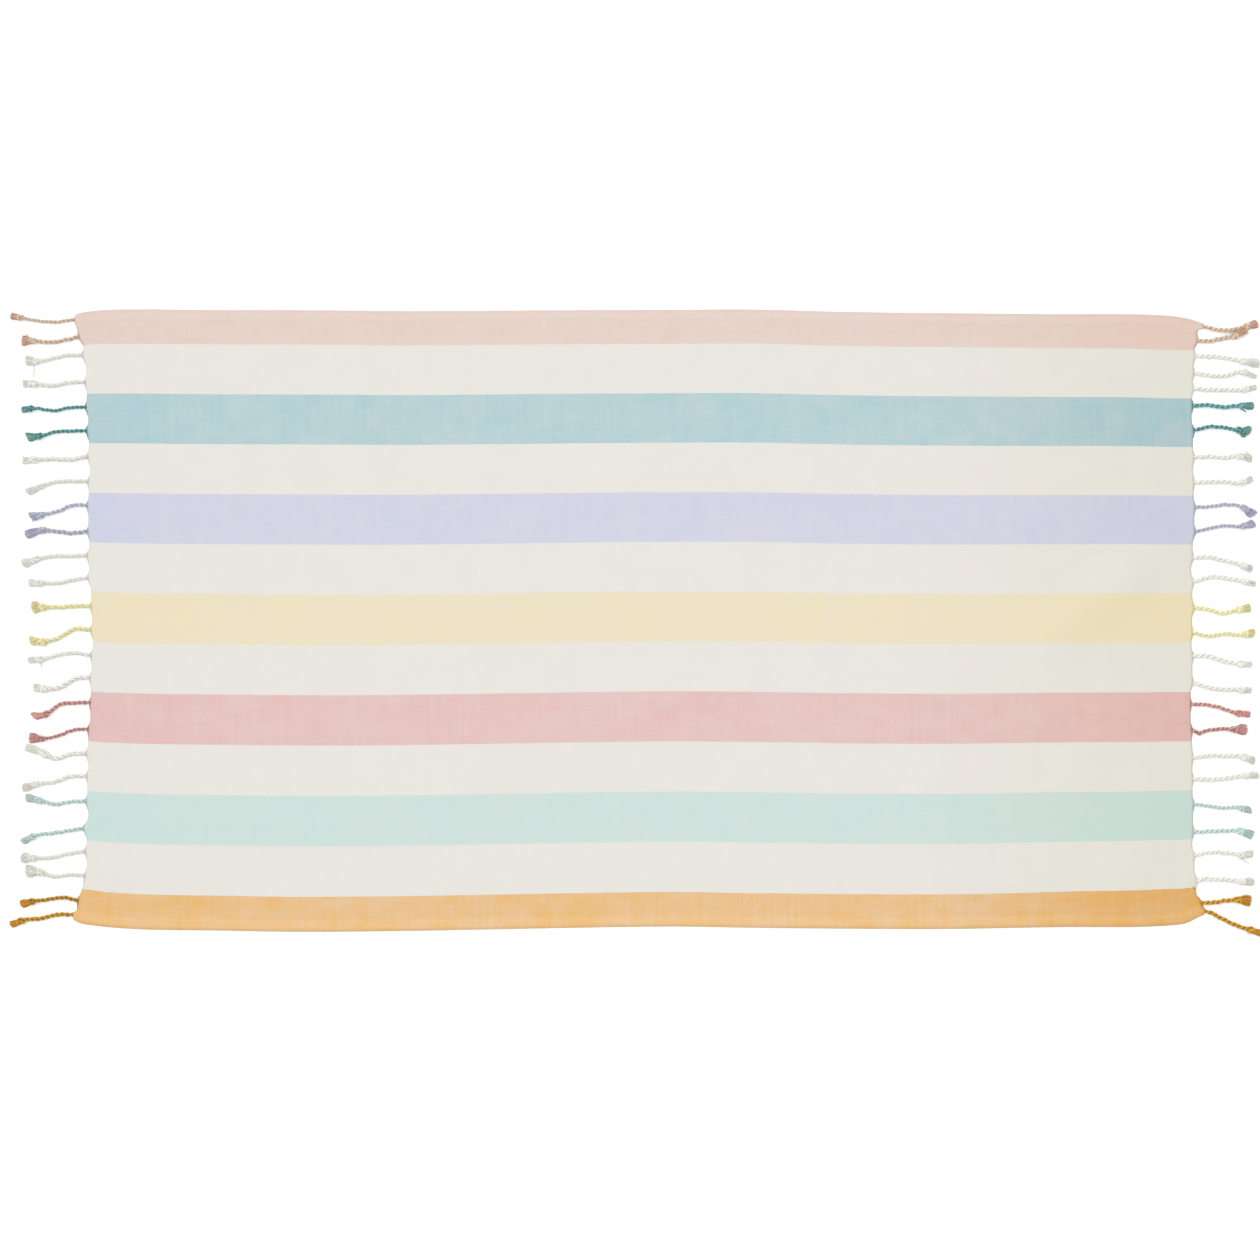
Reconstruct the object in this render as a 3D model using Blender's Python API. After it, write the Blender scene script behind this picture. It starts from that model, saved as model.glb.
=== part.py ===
import math
from collections import namedtuple

import bmesh
import bpy
from mathutils import Vector
from mathutils.geometry import delaunay_2d_cdt

# A striped hammam towel laid out flat. Its length and its coloured warp stripes run along X, its two hemmed
# edges are the far one (+Y) and the near one (-Y), and a row of twisted tassels lies past each end.
# The surface that it lies on is Z = 0. Tables are in millimetres, everything else in metres.
MM = 0.001
MERGE = 0.001 * MM  # points nearer than this are one
OBJECT = "hammam_towel"

CLOTH_THICK = 1.5 * MM
HEM_WIDTH = 15.0 * MM
HEM_RISE = 1.2 * MM  # the turned hem is three layers pressed together
HEM_SLOPE = 1.5 * MM  # how soon its step comes down to the plain cloth
STRIPE = 80.7 * MM
OUTER_STRIPE = 57.3 * MM  # the two outer stripes lose the rest of their width to the hems
STRIPES = (
    "peach", "natural", "blue", "natural", "lilac", "natural", "yellow",
    "natural", "rose", "natural", "mint", "natural", "orange",
)  # from the far edge to the near one

# The long edges wander a little: the far and the near edge at a place along the length.
EdgeRow = namedtuple("EdgeRow", "x far near")
LONG_EDGES = [EdgeRow(*row) for row in (
    (-918, 493, -482),
    (-906, 498, -489),
    (-885, 501.5, -493),
    (-850, 504, -497),
    (-790, 505, -501),
    (-700, 505, -503.5),
    (-550, 505, -506),
    (-370, 503.5, -504.5),
    (-100, 505, -499.5),
    (60, 505.5, -497.5),
    (180, 506, -499.5),
    (340, 502, -501),
    (500, 500, -501.5),
    (670, 498.5, -498.5),
    (800, 497, -496.5),
    (860, 494, -493.5),
    (882, 491, -491),
    (896, 488, -486),
    (907, 484, -480),
    (919, 480, -475),
)]

# Where the cloth lifts a little off the surface: the middle of each low swell, its half length and half
# width, the turn of its length from X in degrees, and its height.
Swell = namedtuple("Swell", "x y half_length half_width turn height")
SWELLS = [Swell(*row) for row in (
    (745, 40, 170, 60, 42, 3.2),
    (815, -400, 110, 60, 25, 2.6),
    (-450, 320, 60, 150, 4, 2.6),
    (-80, -190, 240, 90, 8, 2.4),
    (300, 270, 220, 80, -12, 2.6),
    (-690, -330, 130, 65, -32, 2.8),
    (480, -330, 70, 160, 12, 2.4),
)]
SWELL_SUNK = 0.8 * MM  # the part of each swell's foot that still lies flat
SWELLS_END = (790.0 * MM, 880.0 * MM)  # and they die out between these two places on the way to either end

# A row for each tassel, from the far edge to the near one: its stripe, the place of its root (how far out
# along X, and its Y), its reach past the root, how far aside it lies a quarter, half and three quarters of
# the way and at its tip, how far its knot is from the tip, and the width of its loose tuft.
Tassel = namedtuple("Tassel", "dye root_x root_y reach aside_1 aside_2 aside_3 aside_tip knot tuft")
LEFT_TASSELS = [Tassel(*row) for row in (
    ("peach", 914, 488, 103, -4, -3, 1, 6, 16, 11),
    ("peach", 907, 460, 92, -6, -9, -7, -6, 19, 18),
    ("natural", 901, 430, 93, 0, -5, -10, -8, 20, 17),
    ("natural", 899, 387, 98, -1, -6, -4, -3, 16, 12),
    ("blue", 895, 346, 104, -1, -6, -2, -5, 13, 12),
    ("blue", 894, 308, 98, -1, -2, -9, -11, 22, 15),
    ("natural", 895, 266, 103, -5, -4, -5, -7, 19, 12),
    ("natural", 893, 226, 98, 0, -1, -8, -19, 23, 15),
    ("lilac", 893, 187, 94, 0, -10, -15, -19, 19, 15),
    ("lilac", 891, 145, 102, -3, 0, 1, -7, 29, 15),
    ("natural", 894, 106, 104, -1, -1, -6, -15, 22, 16),
    ("natural", 892, 70, 96, -4, -9, -9, -9, 19, 12),
    ("yellow", 888, 24, 96, 0, -2, -2, -3, 20, 19),
    ("yellow", 887, -15, 100, 2, -12, -19, -17, 23, 15),
    ("natural", 887, -56, 102, 4, 1, -6, -8, 20, 12),
    ("natural", 888, -94, 93, 1, -13, -16, -14, 19, 12),
    ("rose", 887, -132, 97, 0, -5, -19, -23, 24, 12),
    ("rose", 891, -175, 96, -2, -11, -16, -14, 21, 17),
    ("natural", 895, -215, 98, -1, -8, 3, 11, 31, 12),
    ("natural", 893, -251, 105, -1, -10, -13, -21, 23, 13),
    ("mint", 893, -292, 100, -1, -5, 1, 6, 23, 13),
    ("mint", 900, -336, 99, -4, -8, -11, -23, 16, 12),
    ("natural", 897, -373, 104, -4, -10, -11, -11, 19, 16),
    ("natural", 898, -412, 96, 1, -2, 5, 7, 27, 20),
    ("orange", 908, -453, 93, 5, 2, -1, -6, 19, 14),
    ("orange", 917, -476, 100, 0, -6, -8, -17, 17, 12),
)]
RIGHT_TASSELS = [Tassel(*row) for row in (
    ("peach", 917, 476, 87, -5, -5, 0, 5, 19, 14),
    ("peach", 907, 453, 79, 0, 4, 5, 9, 19, 11),
    ("natural", 906, 429, 100, -1, -4, -9, -13, 26, 15),
    ("natural", 901, 401, 100, -4, -4, 2, -6, 20, 10),
    ("natural", 901, 376, 100, -2, -2, -2, 2, 20, 12),
    ("blue", 898, 348, 99, 1, -2, 0, 0, 19, 13),
    ("blue", 900, 308, 92, 6, 5, 1, -4, 18, 20),
    ("natural", 901, 265, 93, 1, -1, 2, -3, 21, 18),
    ("natural", 900, 224, 95, 1, 1, -1, 6, 18, 17),
    ("lilac", 902, 184, 99, 1, 4, 0, -12, 21, 14),
    ("lilac", 902, 144, 97, 6, 10, 9, 12, 19, 12),
    ("natural", 899, 102, 96, 1, -4, -10, -19, 15, 13),
    ("natural", 900, 63, 100, 8, 6, 2, -4, 19, 12),
    ("yellow", 900, 21, 92, -3, -9, -3, 0, 19, 15),
    ("yellow", 899, -19, 100, -6, -2, -4, 0, 16, 14),
    ("natural", 899, -57, 95, 0, -8, -12, -14, 18, 12),
    ("natural", 899, -100, 94, -8, -11, -11, -13, 17, 13),
    ("rose", 895, -135, 96, -1, -6, -14, -17, 19, 12),
    ("rose", 895, -177, 92, -1, 2, 1, 1, 22, 18),
    ("natural", 899, -222, 100, 4, 3, 3, -6, 18, 13),
    ("natural", 899, -256, 106, -1, 1, 5, 6, 21, 12),
    ("mint", 900, -297, 94, -3, -6, -5, -11, 18, 12),
    ("mint", 900, -342, 96, 1, 2, 2, -6, 21, 15),
    ("natural", 900, -380, 96, 5, 4, 1, 2, 19, 13),
    ("natural", 907, -422, 91, 3, 3, 0, -1, 21, 12),
    ("orange", 912, -457, 81, 1, 4, 5, 3, 22, 20),
    ("orange", 918, -470, 99, -11, -23, -31, -39, 25, 14),
)]
ENDS = {"left": (-1, LEFT_TASSELS), "right": (1, RIGHT_TASSELS)}

SCALLOP = 3.2 * MM  # how far the end edge draws back between two tassels
SCALLOP_SPAN = 22.0 * MM  # and less than that between two that stand closer than this
SCALLOP_STEPS = (0.22, 0.5, 0.78)  # where it turns on the way from one root to the next
CORNER_BACK = 1.5 * MM  # how far it draws back at its corners, past the first and the last root

# A tassel's cross-sections. The knot's are placed from its middle, towards the tip.
CORD = 5.0 * MM
CORD_HEIGHT = 4.6 * MM
CORD_STATIONS = 5
CORD_START = 6.0 * MM  # the first full section, past the root
Section = namedtuple("Section", "past_middle width height")
KNOT = [Section(*(size * MM for size in row)) for row in (
    (-5.8, 5.0, 4.6),
    (-2.0, 10.0, 8.0),
    (2.0, 10.0, 8.0),
    (5.2, 6.4, 5.0),
)]
TUFT_WIDEST = 0.7  # of the way from the knot's middle to the tip
TUFT_HEIGHT = 5.0 * MM
TUFT_TIP = 0.8  # the tip's share of the tuft's width
TUFT_TIP_HEIGHT = 2.6 * MM
CROWN = 0.6  # a strand's width along its top, as a share of that on the surface
BEND_SPAN = 2.0 * MM  # a section faces the way the strand runs between this far before it and after it

# The strip of gathered warp that the tassels grow from.
STRIP_GAP = 0.45 * MM  # between it and the cloth's end
STRIP_WIDTH = {"root": 2.6 * MM, "between": 1.3 * MM}
STRIP_THICK = 1.7 * MM

STRIPES_HOLD = 850.0 * MM  # past this the corners round off and the stripes run on straight
CORNERS = (840.0 * MM, 910.0 * MM)  # between these the outline keeps every row of LONG_EDGES
LINE_STEP = 62.0 * MM  # along the cloth's rows of points
ROW_END_CLEAR = 20.0 * MM  # those rows stop this far from the ends
STATION_SNAP = 4.5 * MM  # a row's end takes over a corner of the end edge that is as near as this
STATION_APART = 0.7 * MM  # and adds none nearer to another corner than this

# Each dye on the woven stripe, where white weft thins it, and on the tassels, which are the warp alone.
Dye = namedtuple("Dye", "woven twisted")
DYES = {
    "natural": Dye((235, 232, 227), (224, 223, 217)),
    "peach": Dye((232, 212, 201), (199, 142, 118)),
    "blue": Dye((187, 211, 215), (72, 132, 132)),
    "lilac": Dye((214, 216, 231), (148, 144, 182)),
    "yellow": Dye((240, 229, 199), (223, 211, 140)),
    "rose": Dye((231, 199, 195), (194, 98, 98)),
    "mint": Dye((210, 227, 223), (163, 193, 183)),
    "orange": Dye((235, 196, 142), (194, 136, 54)),
}
COTTON_ROUGHNESS = 0.92


def smooth_between(xs, values, x):
    """A smooth curve through the values at xs, read at x."""
    x = min(max(x, xs[0]), xs[-1])
    last = len(xs) - 1
    i = max(k for k in range(last) if xs[k] <= x or k == 0)
    before, after = max(i - 1, 0), min(i + 2, last)
    step = xs[i + 1] - xs[i]
    t = (x - xs[i]) / step
    slope_in = (values[i + 1] - values[before]) / (xs[i + 1] - xs[before])
    slope_out = (values[after] - values[i]) / (xs[after] - xs[i])
    rise = values[i + 1] - values[i]
    bend_in = slope_in * step - rise
    bend_out = rise - slope_out * step
    return values[i] + t * rise + t * (1 - t) * ((1 - t) * bend_in + t * bend_out)


def far_edge(x):
    return MM * smooth_between([row.x for row in LONG_EDGES], [row.far for row in LONG_EDGES], x / MM)


def near_edge(x):
    return MM * smooth_between([row.x for row in LONG_EDGES], [row.near for row in LONG_EDGES], x / MM)


def stripe_shares():
    """The stripes' borders as shares of the cloth's width, from the far edge."""
    widths = [OUTER_STRIPE] + [STRIPE] * (len(STRIPES) - 2) + [OUTER_STRIPE]
    total = sum(widths)
    shares = []
    for width in widths[:-1]:
        shares.append((shares[-1] if shares else 0.0) + width / total)
    return shares


def stripe_line(x, share):
    """Y of a line that keeps its share of the width, all along the cloth."""
    x = min(max(x, -STRIPES_HOLD), STRIPES_HOLD)
    return far_edge(x) + (near_edge(x) - far_edge(x)) * share


def border_curves():
    return [lambda x, share=share: stripe_line(x, share) for share in stripe_shares()]


def middle_curves():
    borders = stripe_shares()
    middles = [(a + b) / 2 for a, b in zip(borders, borders[1:])]
    return [lambda x, share=share: stripe_line(x, share) for share in middles]


def hem_curves():
    """The inner edge of each hem's step, at its top and at its foot."""
    steps = (HEM_WIDTH, HEM_WIDTH + HEM_SLOPE)
    far = [lambda x, step=step: far_edge(x) - step for step in steps]
    near = [lambda x, step=step: near_edge(x) + step for step in steps]
    return far + near


def lift(x, y):
    """How far the cloth's underside stands off the surface."""
    height = -SWELL_SUNK
    for swell in SWELLS:
        turn = math.radians(swell.turn)
        dx, dy = x - swell.x * MM, y - swell.y * MM
        along = (dx * math.cos(turn) + dy * math.sin(turn)) / (swell.half_length * MM)
        across = (dy * math.cos(turn) - dx * math.sin(turn)) / (swell.half_width * MM)
        height += swell.height * MM * math.exp(-along * along - across * across)
    start, end = SWELLS_END
    fade = min(1.0, max(0.0, (end - abs(x)) / (end - start)))
    return max(0.0, height * fade)


def thickness(x, y):
    """Plain cloth, or the turned hem along the two long edges."""
    inside = min(far_edge(x) - y, y - near_edge(x))
    share = (HEM_WIDTH + HEM_SLOPE - inside) / HEM_SLOPE
    return CLOTH_THICK + HEM_RISE * min(1.0, max(0.0, share))


def root_sides(tassel):
    """The two corners of a tassel's root, across the cloth."""
    return tassel.root_y * MM + CORD / 2, tassel.root_y * MM - CORD / 2


def end_place(name, y):
    """X of the cloth's end edge at y: out at each tassel's root, drawn back in a scallop between two."""
    side, tassels = ENDS[name]
    if y > root_sides(tassels[0])[0]:
        return side * (tassels[0].root_x * MM - CORNER_BACK)
    if y < root_sides(tassels[-1])[1]:
        return side * (tassels[-1].root_x * MM - CORNER_BACK)
    for a, b in zip(tassels, tassels[1:]):
        top, low = root_sides(a)[1], root_sides(b)[0]
        if low < y < top:
            t = (top - y) / (top - low)
            straight = (a.root_x + (b.root_x - a.root_x) * t) * MM
            depth = SCALLOP * min(1.0, (top - low) / SCALLOP_SPAN)
            return side * (straight - depth * math.sin(math.pi * t))
    return side * MM * min(tassels, key=lambda tassel: abs(tassel.root_y * MM - y)).root_x


def end_stations(name):
    """Where the end edge turns, from the far corner to the near one: each y, and whether it is a root's."""
    side, tassels = ENDS[name]
    corner_x = [side * (tassel.root_x * MM - CORNER_BACK) for tassel in (tassels[0], tassels[-1])]
    roots = [y for tassel in tassels for y in root_sides(tassel)]
    corners = [far_edge(corner_x[0]), near_edge(corner_x[1])]
    turns = []
    for a, b in zip(tassels, tassels[1:]):
        top, low = root_sides(a)[1], root_sides(b)[0]
        turns += [top + (low - top) * t for t in SCALLOP_STEPS]
    # each stripe's border and each hem's step ends at a station of its own
    crossings = [curve(end_place(name, curve(corner_x[0]))) for curve in border_curves() + hem_curves()]
    for crossing in crossings:
        turns = [y for y in turns if abs(y - crossing) > STATION_SNAP or y in crossings]
        if min(abs(y - crossing) for y in turns + roots + corners) > STATION_APART:
            turns.append(crossing)
    stations = [(y, "root") for y in roots] + [(y, "between") for y in turns + corners]
    return sorted(stations, reverse=True)


def dye_at(x, y):
    return STRIPES[sum(y < stripe_line(x, share) for share in stripe_shares())]


def linear(colour):
    return [((c / 255 + 0.055) / 1.055) ** 2.4 for c in colour] + [1.0]


def cotton(name, colour):
    material = bpy.data.materials.new(name)
    material.use_nodes = True
    shader = material.node_tree.nodes["Principled BSDF"]
    shader.inputs["Base Color"].default_value = linear(colour)
    shader.inputs["Roughness"].default_value = COTTON_ROUGHNESS
    shader.inputs["Metallic"].default_value = 0.0
    material.diffuse_color = linear(colour)
    return material


def new_piece(name, bm, materials, collection, parent):
    mesh = bpy.data.meshes.new(name)
    bm.to_mesh(mesh)
    bm.free()
    for material in materials:
        mesh.materials.append(material)
    piece = bpy.data.objects.new(name, mesh)
    piece.parent = parent
    collection.objects.link(piece)
    return piece


def cloth_outline():
    """The corners of the cloth's outline, counter-clockwise from its near left corner."""
    right = [(end_place("right", y), y) for y, _ in end_stations("right")]
    left = [(end_place("left", y), y) for y, _ in end_stations("left")]
    start, length = left[0][0], right[0][0] - left[0][0]
    spans = int(length / LINE_STEP)
    xs = [start + length * k / spans for k in range(1, spans)]
    xs += [row.x * MM for row in LONG_EDGES if CORNERS[0] < abs(row.x * MM) < CORNERS[1]]
    near = [(x, near_edge(x)) for x in sorted(xs)]
    far = [(x, far_edge(x)) for x in sorted(xs, reverse=True)]
    return near + right[::-1] + far + left


def cloth_points(outline):
    """The cloth's flat net: its points, and the edges that follow its outline, stripes and hems."""
    points = [Vector(point) for point in outline]
    edges = [(k, (k + 1) % len(points)) for k in range(len(points))]
    reach = min(abs(end_place(name, y)) for name in ENDS for y, _ in end_stations(name)) - ROW_END_CLEAR
    spans = int(2 * reach / LINE_STEP)
    for curve in border_curves() + hem_curves():
        first = len(points)
        xs = [reach * (2 * k / spans - 1) for k in range(spans + 1)]
        points += [Vector((x, curve(x))) for x in xs]
        edges += [(k, k + 1) for k in range(first, len(points) - 1)]
        # each row runs out to its own station on the two end edges
        for tip in (first, len(points) - 1):
            end = [k for k, (x, _) in enumerate(outline) if x * points[tip].x > 0 and abs(x) > reach]
            edges.append((tip, min(end, key=lambda k: abs(outline[k][1] - curve(outline[k][0])))))
    for curve in middle_curves():
        xs = [reach * ((2 * k + 1) / spans - 1) for k in range(spans)]
        points += [Vector((x, curve(x))) for x in xs]
    return points, edges


def cloth_solid(collection, parent, materials):
    outline = cloth_outline()
    points, edges = cloth_points(outline)
    net, _, triangles, *_ = delaunay_2d_cdt(points, edges, [range(len(outline))], 1, MERGE)
    bm = bmesh.new()
    low = [bm.verts.new((point.x, point.y, 0.0)) for point in net]
    for triangle in triangles:
        bm.faces.new([low[k] for k in triangle])
    extruded = bmesh.ops.extrude_face_region(bm, geom=bm.faces[:], use_keep_orig=True)["geom"]
    top = [item for item in extruded if isinstance(item, bmesh.types.BMVert)]
    for vert in low:
        vert.co.z = lift(vert.co.x, vert.co.y)
    for vert in top:
        vert.co.z = lift(vert.co.x, vert.co.y) + thickness(vert.co.x, vert.co.y)
    bmesh.ops.recalc_face_normals(bm, faces=bm.faces)
    dyes = list(DYES)
    for face in bm.faces:
        centre = face.calc_center_median()
        face.material_index = dyes.index(dye_at(centre.x, centre.y))
    return new_piece("cloth", bm, materials, collection, parent)


def extrude_to(bm, face, place):
    """Extrude one four-sided face and put its corners where place says, given each corner's old spot."""
    middle = face.calc_center_median()
    grown = bmesh.ops.extrude_discrete_faces(bm, faces=[face])["faces"][0]
    for vert in grown.verts:
        vert.co = place(vert.co - middle)
    return grown


def section(centre, along, width, height):
    """Corners of a strand lying on the surface, narrower along its top."""
    across = Vector((-along.y, along.x))

    def place(offset):
        half = width / 2 * (CROWN if offset.z > 0 else 1)
        spot = centre + across * math.copysign(half, offset.xy.dot(across))
        return Vector((spot.x, spot.y, height if offset.z > 0 else 0.0))

    return place


def tassel_route(side, tassel):
    """The middle of the tassel, at a distance past its root along X."""
    asides = (0.0, tassel.aside_1, tassel.aside_2, tassel.aside_3, tassel.aside_tip)
    marks = [tassel.reach * MM * k / (len(asides) - 1) for k in range(len(asides))]

    def at(past_root):
        x = side * (tassel.root_x * MM + past_root)
        return Vector((x, (tassel.root_y + smooth_between(marks, asides, past_root)) * MM))

    return at


def tassel_sections(tassel):
    """Each section of the cord, the knot and the tuft: how far past the root, how wide and how high it is."""
    reach, tuft = tassel.reach * MM, tassel.tuft * MM
    knot = reach - tassel.knot * MM
    step = (knot + KNOT[0].past_middle - CORD_START) / CORD_STATIONS
    sections = [(CORD_START + step * k, CORD, CORD_HEIGHT) for k in range(CORD_STATIONS)]
    sections += [(knot + row.past_middle, row.width, row.height) for row in KNOT]
    sections.append((knot + (reach - knot) * TUFT_WIDEST, tuft, TUFT_HEIGHT))
    sections.append((reach, tuft * TUFT_TIP, TUFT_TIP_HEIGHT))
    return sections


def strip_solid(bm, name):
    """The narrow strip of gathered warp along one end: a box, grown from station to station."""
    side, _ = ENDS[name]
    stations = end_stations(name)

    def place(k):
        y, kind = stations[k]
        inner = end_place(name, y) + side * STRIP_GAP
        outer = inner + side * STRIP_WIDTH[kind]
        return lambda offset: Vector((
            outer if offset.x * side > 0 else inner, y, STRIP_THICK if offset.z > 0 else 0.0))

    for vert in bmesh.ops.create_cube(bm, size=1.0)["verts"]:
        vert.co = place(0 if vert.co.y > 0 else 1)(vert.co.copy())
    growing = min(bm.faces, key=lambda face: face.calc_center_median().y)
    for k in range(2, len(stations)):
        growing = extrude_to(bm, growing, place(k))
    bm.normal_update()


def fringe_solid(name, collection, parent, materials):
    side, tassels = ENDS[name]
    bm = bmesh.new()
    strip_solid(bm, name)
    dyes = list(DYES)
    for face in bm.faces:
        y = face.calc_center_median().y
        nearest = min(tassels, key=lambda tassel: abs(tassel.root_y * MM - y))
        face.material_index = dyes.index(nearest.dye)
    for tassel in tassels:
        top, low = root_sides(tassel)
        at_root = [face for face in bm.faces if low < face.calc_center_median().y < top]
        growing = max(at_root, key=lambda face: face.normal.x * side)
        route = tassel_route(side, tassel)
        for past_root, width, height in tassel_sections(tassel):
            along = (route(past_root + BEND_SPAN) - route(past_root - BEND_SPAN)).normalized()
            growing = extrude_to(bm, growing, section(route(past_root), along, width, height))
    bmesh.ops.recalc_face_normals(bm, faces=bm.faces)
    return new_piece(f"fringe_{name}", bm, materials, collection, parent)


def set_on_middle(parent, pieces):
    """Move the whole towel so that the middle of its box is at X = 0, Y = 0."""
    corners = [vert.co for piece in pieces for vert in piece.data.vertices]
    for axis in range(2):
        places = [corner[axis] for corner in corners]
        parent.location[axis] = -(min(places) + max(places)) / 2


def main():
    for thing in list(bpy.data.objects):
        bpy.data.objects.remove(thing, do_unlink=True)
    collection = bpy.data.collections.new(OBJECT)
    bpy.context.scene.collection.children.link(collection)
    towel = bpy.data.objects.new(OBJECT, None)
    collection.objects.link(towel)
    woven = [cotton(f"woven_{name}", dye.woven) for name, dye in DYES.items()]
    twisted = [cotton(f"twisted_{name}", dye.twisted) for name, dye in DYES.items()]
    cloth = cloth_solid(collection, towel, woven)
    fringes = [fringe_solid(name, collection, towel, twisted) for name in ENDS]
    set_on_middle(towel, [cloth, *fringes])


main()
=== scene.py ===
import math
from collections import namedtuple

import bpy
import numpy as np
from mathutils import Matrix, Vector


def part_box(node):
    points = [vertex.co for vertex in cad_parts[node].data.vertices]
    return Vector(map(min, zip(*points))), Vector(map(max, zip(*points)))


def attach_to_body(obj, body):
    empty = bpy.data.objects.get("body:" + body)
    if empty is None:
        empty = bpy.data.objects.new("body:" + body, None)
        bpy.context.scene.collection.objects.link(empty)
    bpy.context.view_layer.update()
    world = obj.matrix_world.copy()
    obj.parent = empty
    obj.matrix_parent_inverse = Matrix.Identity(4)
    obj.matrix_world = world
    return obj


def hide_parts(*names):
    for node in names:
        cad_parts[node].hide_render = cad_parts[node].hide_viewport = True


# A striped hammam towel laid out flat on a pale floor and seen from straight above. Its warp and its stripes
# run along X. Tables are in millimetres from the towel's middle, everything else is in metres.
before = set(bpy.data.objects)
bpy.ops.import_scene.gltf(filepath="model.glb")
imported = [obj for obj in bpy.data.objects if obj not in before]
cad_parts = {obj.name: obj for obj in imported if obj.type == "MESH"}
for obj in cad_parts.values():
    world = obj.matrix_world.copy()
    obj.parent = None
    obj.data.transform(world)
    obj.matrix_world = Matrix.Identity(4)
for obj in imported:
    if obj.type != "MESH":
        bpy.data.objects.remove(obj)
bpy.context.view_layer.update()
mm = 0.001
luck = np.random.default_rng(1907)  # all that is uneven comes from this seed
print("frame loaded:", ", ".join(sorted(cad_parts)))


def table(columns, *rows):
    Row = namedtuple("Row", columns)
    return [Row(*row) for row in rows]


# the long edges, the fringe and the swells are close to where the solids have them
longEdges = table(
    "x far near",
    (-918, 493, -482),
    (-906, 498, -489),
    (-885, 501.5, -493),
    (-850, 504, -497),
    (-790, 505, -501),
    (-700, 505, -503.5),
    (-550, 505, -506),
    (-370, 503.5, -504.5),
    (-100, 505, -499.5),
    (60, 505.5, -497.5),
    (180, 506, -499.5),
    (340, 502, -501),
    (500, 500, -501.5),
    (670, 498.5, -498.5),
    (800, 497, -496.5),
    (860, 494, -493.5),
    (882, 491, -491),
    (896, 488, -486),
    (907, 484, -480),
    (919, 480, -475),
)

# a row for each tassel from the far edge to the near one: where its root is, how far out its tip reaches, how
# far aside it lies on the way, how far its knot is from the tip, and how wide its loose tuft is
tasselColumns = "dye rootX rootY reach aside1 aside2 aside3 asideTip knot tuft"
leftTassels = table(
    tasselColumns,
    ("peach", 914, 488, 103, -4, -3, 1, 6, 16, 11),
    ("peach", 907, 460, 92, -6, -9, -7, -6, 19, 18),
    ("natural", 901, 430, 93, 0, -5, -10, -8, 20, 17),
    ("natural", 897, 387, 100, -1, -6, -4, -3, 17, 14),
    ("blue", 895, 346, 104, -1, -6, -2, -5, 14, 11),
    ("blue", 894, 308, 98, -1, -2, -9, -11, 22, 15),
    ("natural", 893, 266, 105, -5, -4, -5, -7, 19, 12),
    ("natural", 892, 226, 99, 0, -1, -8, -19, 23, 15),
    ("lilac", 893, 187, 94, 0, -10, -15, -19, 19, 15),
    ("lilac", 892, 145, 101, -3, 0, 1, -7, 29, 15),
    ("natural", 893.5, 106, 104.5, -1, -1, -6, -15, 22, 16),
    ("natural", 892, 70, 96, -4, -9, -9, -9, 19, 13),
    ("yellow", 887, 24, 97, 0, -2, -2, -3, 20, 21),
    ("yellow", 887.5, -15, 99.5, 2, -12, -19, -17, 23, 15),
    ("natural", 887, -56, 102, 4, 1, -6, -8, 20, 12),
    ("natural", 889, -91.5, 92, -2, -15.5, -18.5, -16.5, 19, 14),
    ("rose", 888, -132, 96, -1, -3.5, -19.5, -23, 24, 12),
    ("rose", 891, -175, 96, -2, -11, -16, -14, 21, 17),
    ("natural", 895, -215, 98, -1, -8, 3, 11, 31, 14),
    ("natural", 894, -251, 104, -1, -10, -13, -21, 23, 14),
    ("mint", 895, -292, 98, -1, -5, 1, 6, 23, 13),
    ("mint", 899.5, -336, 99.5, -4, -8, -11, -23, 17, 11),
    ("natural", 896.5, -373, 104.5, -4, -10, -11, -11, 20, 19),
    ("natural", 897, -412, 97, 1, -2, 5, 7, 27, 22),
    ("orange", 907.5, -453, 93.5, 5, 2, -1, -6, 19, 14),
    ("orange", 917, -476, 100, 0, -6, -8, -17, 17, 12),
)
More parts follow.
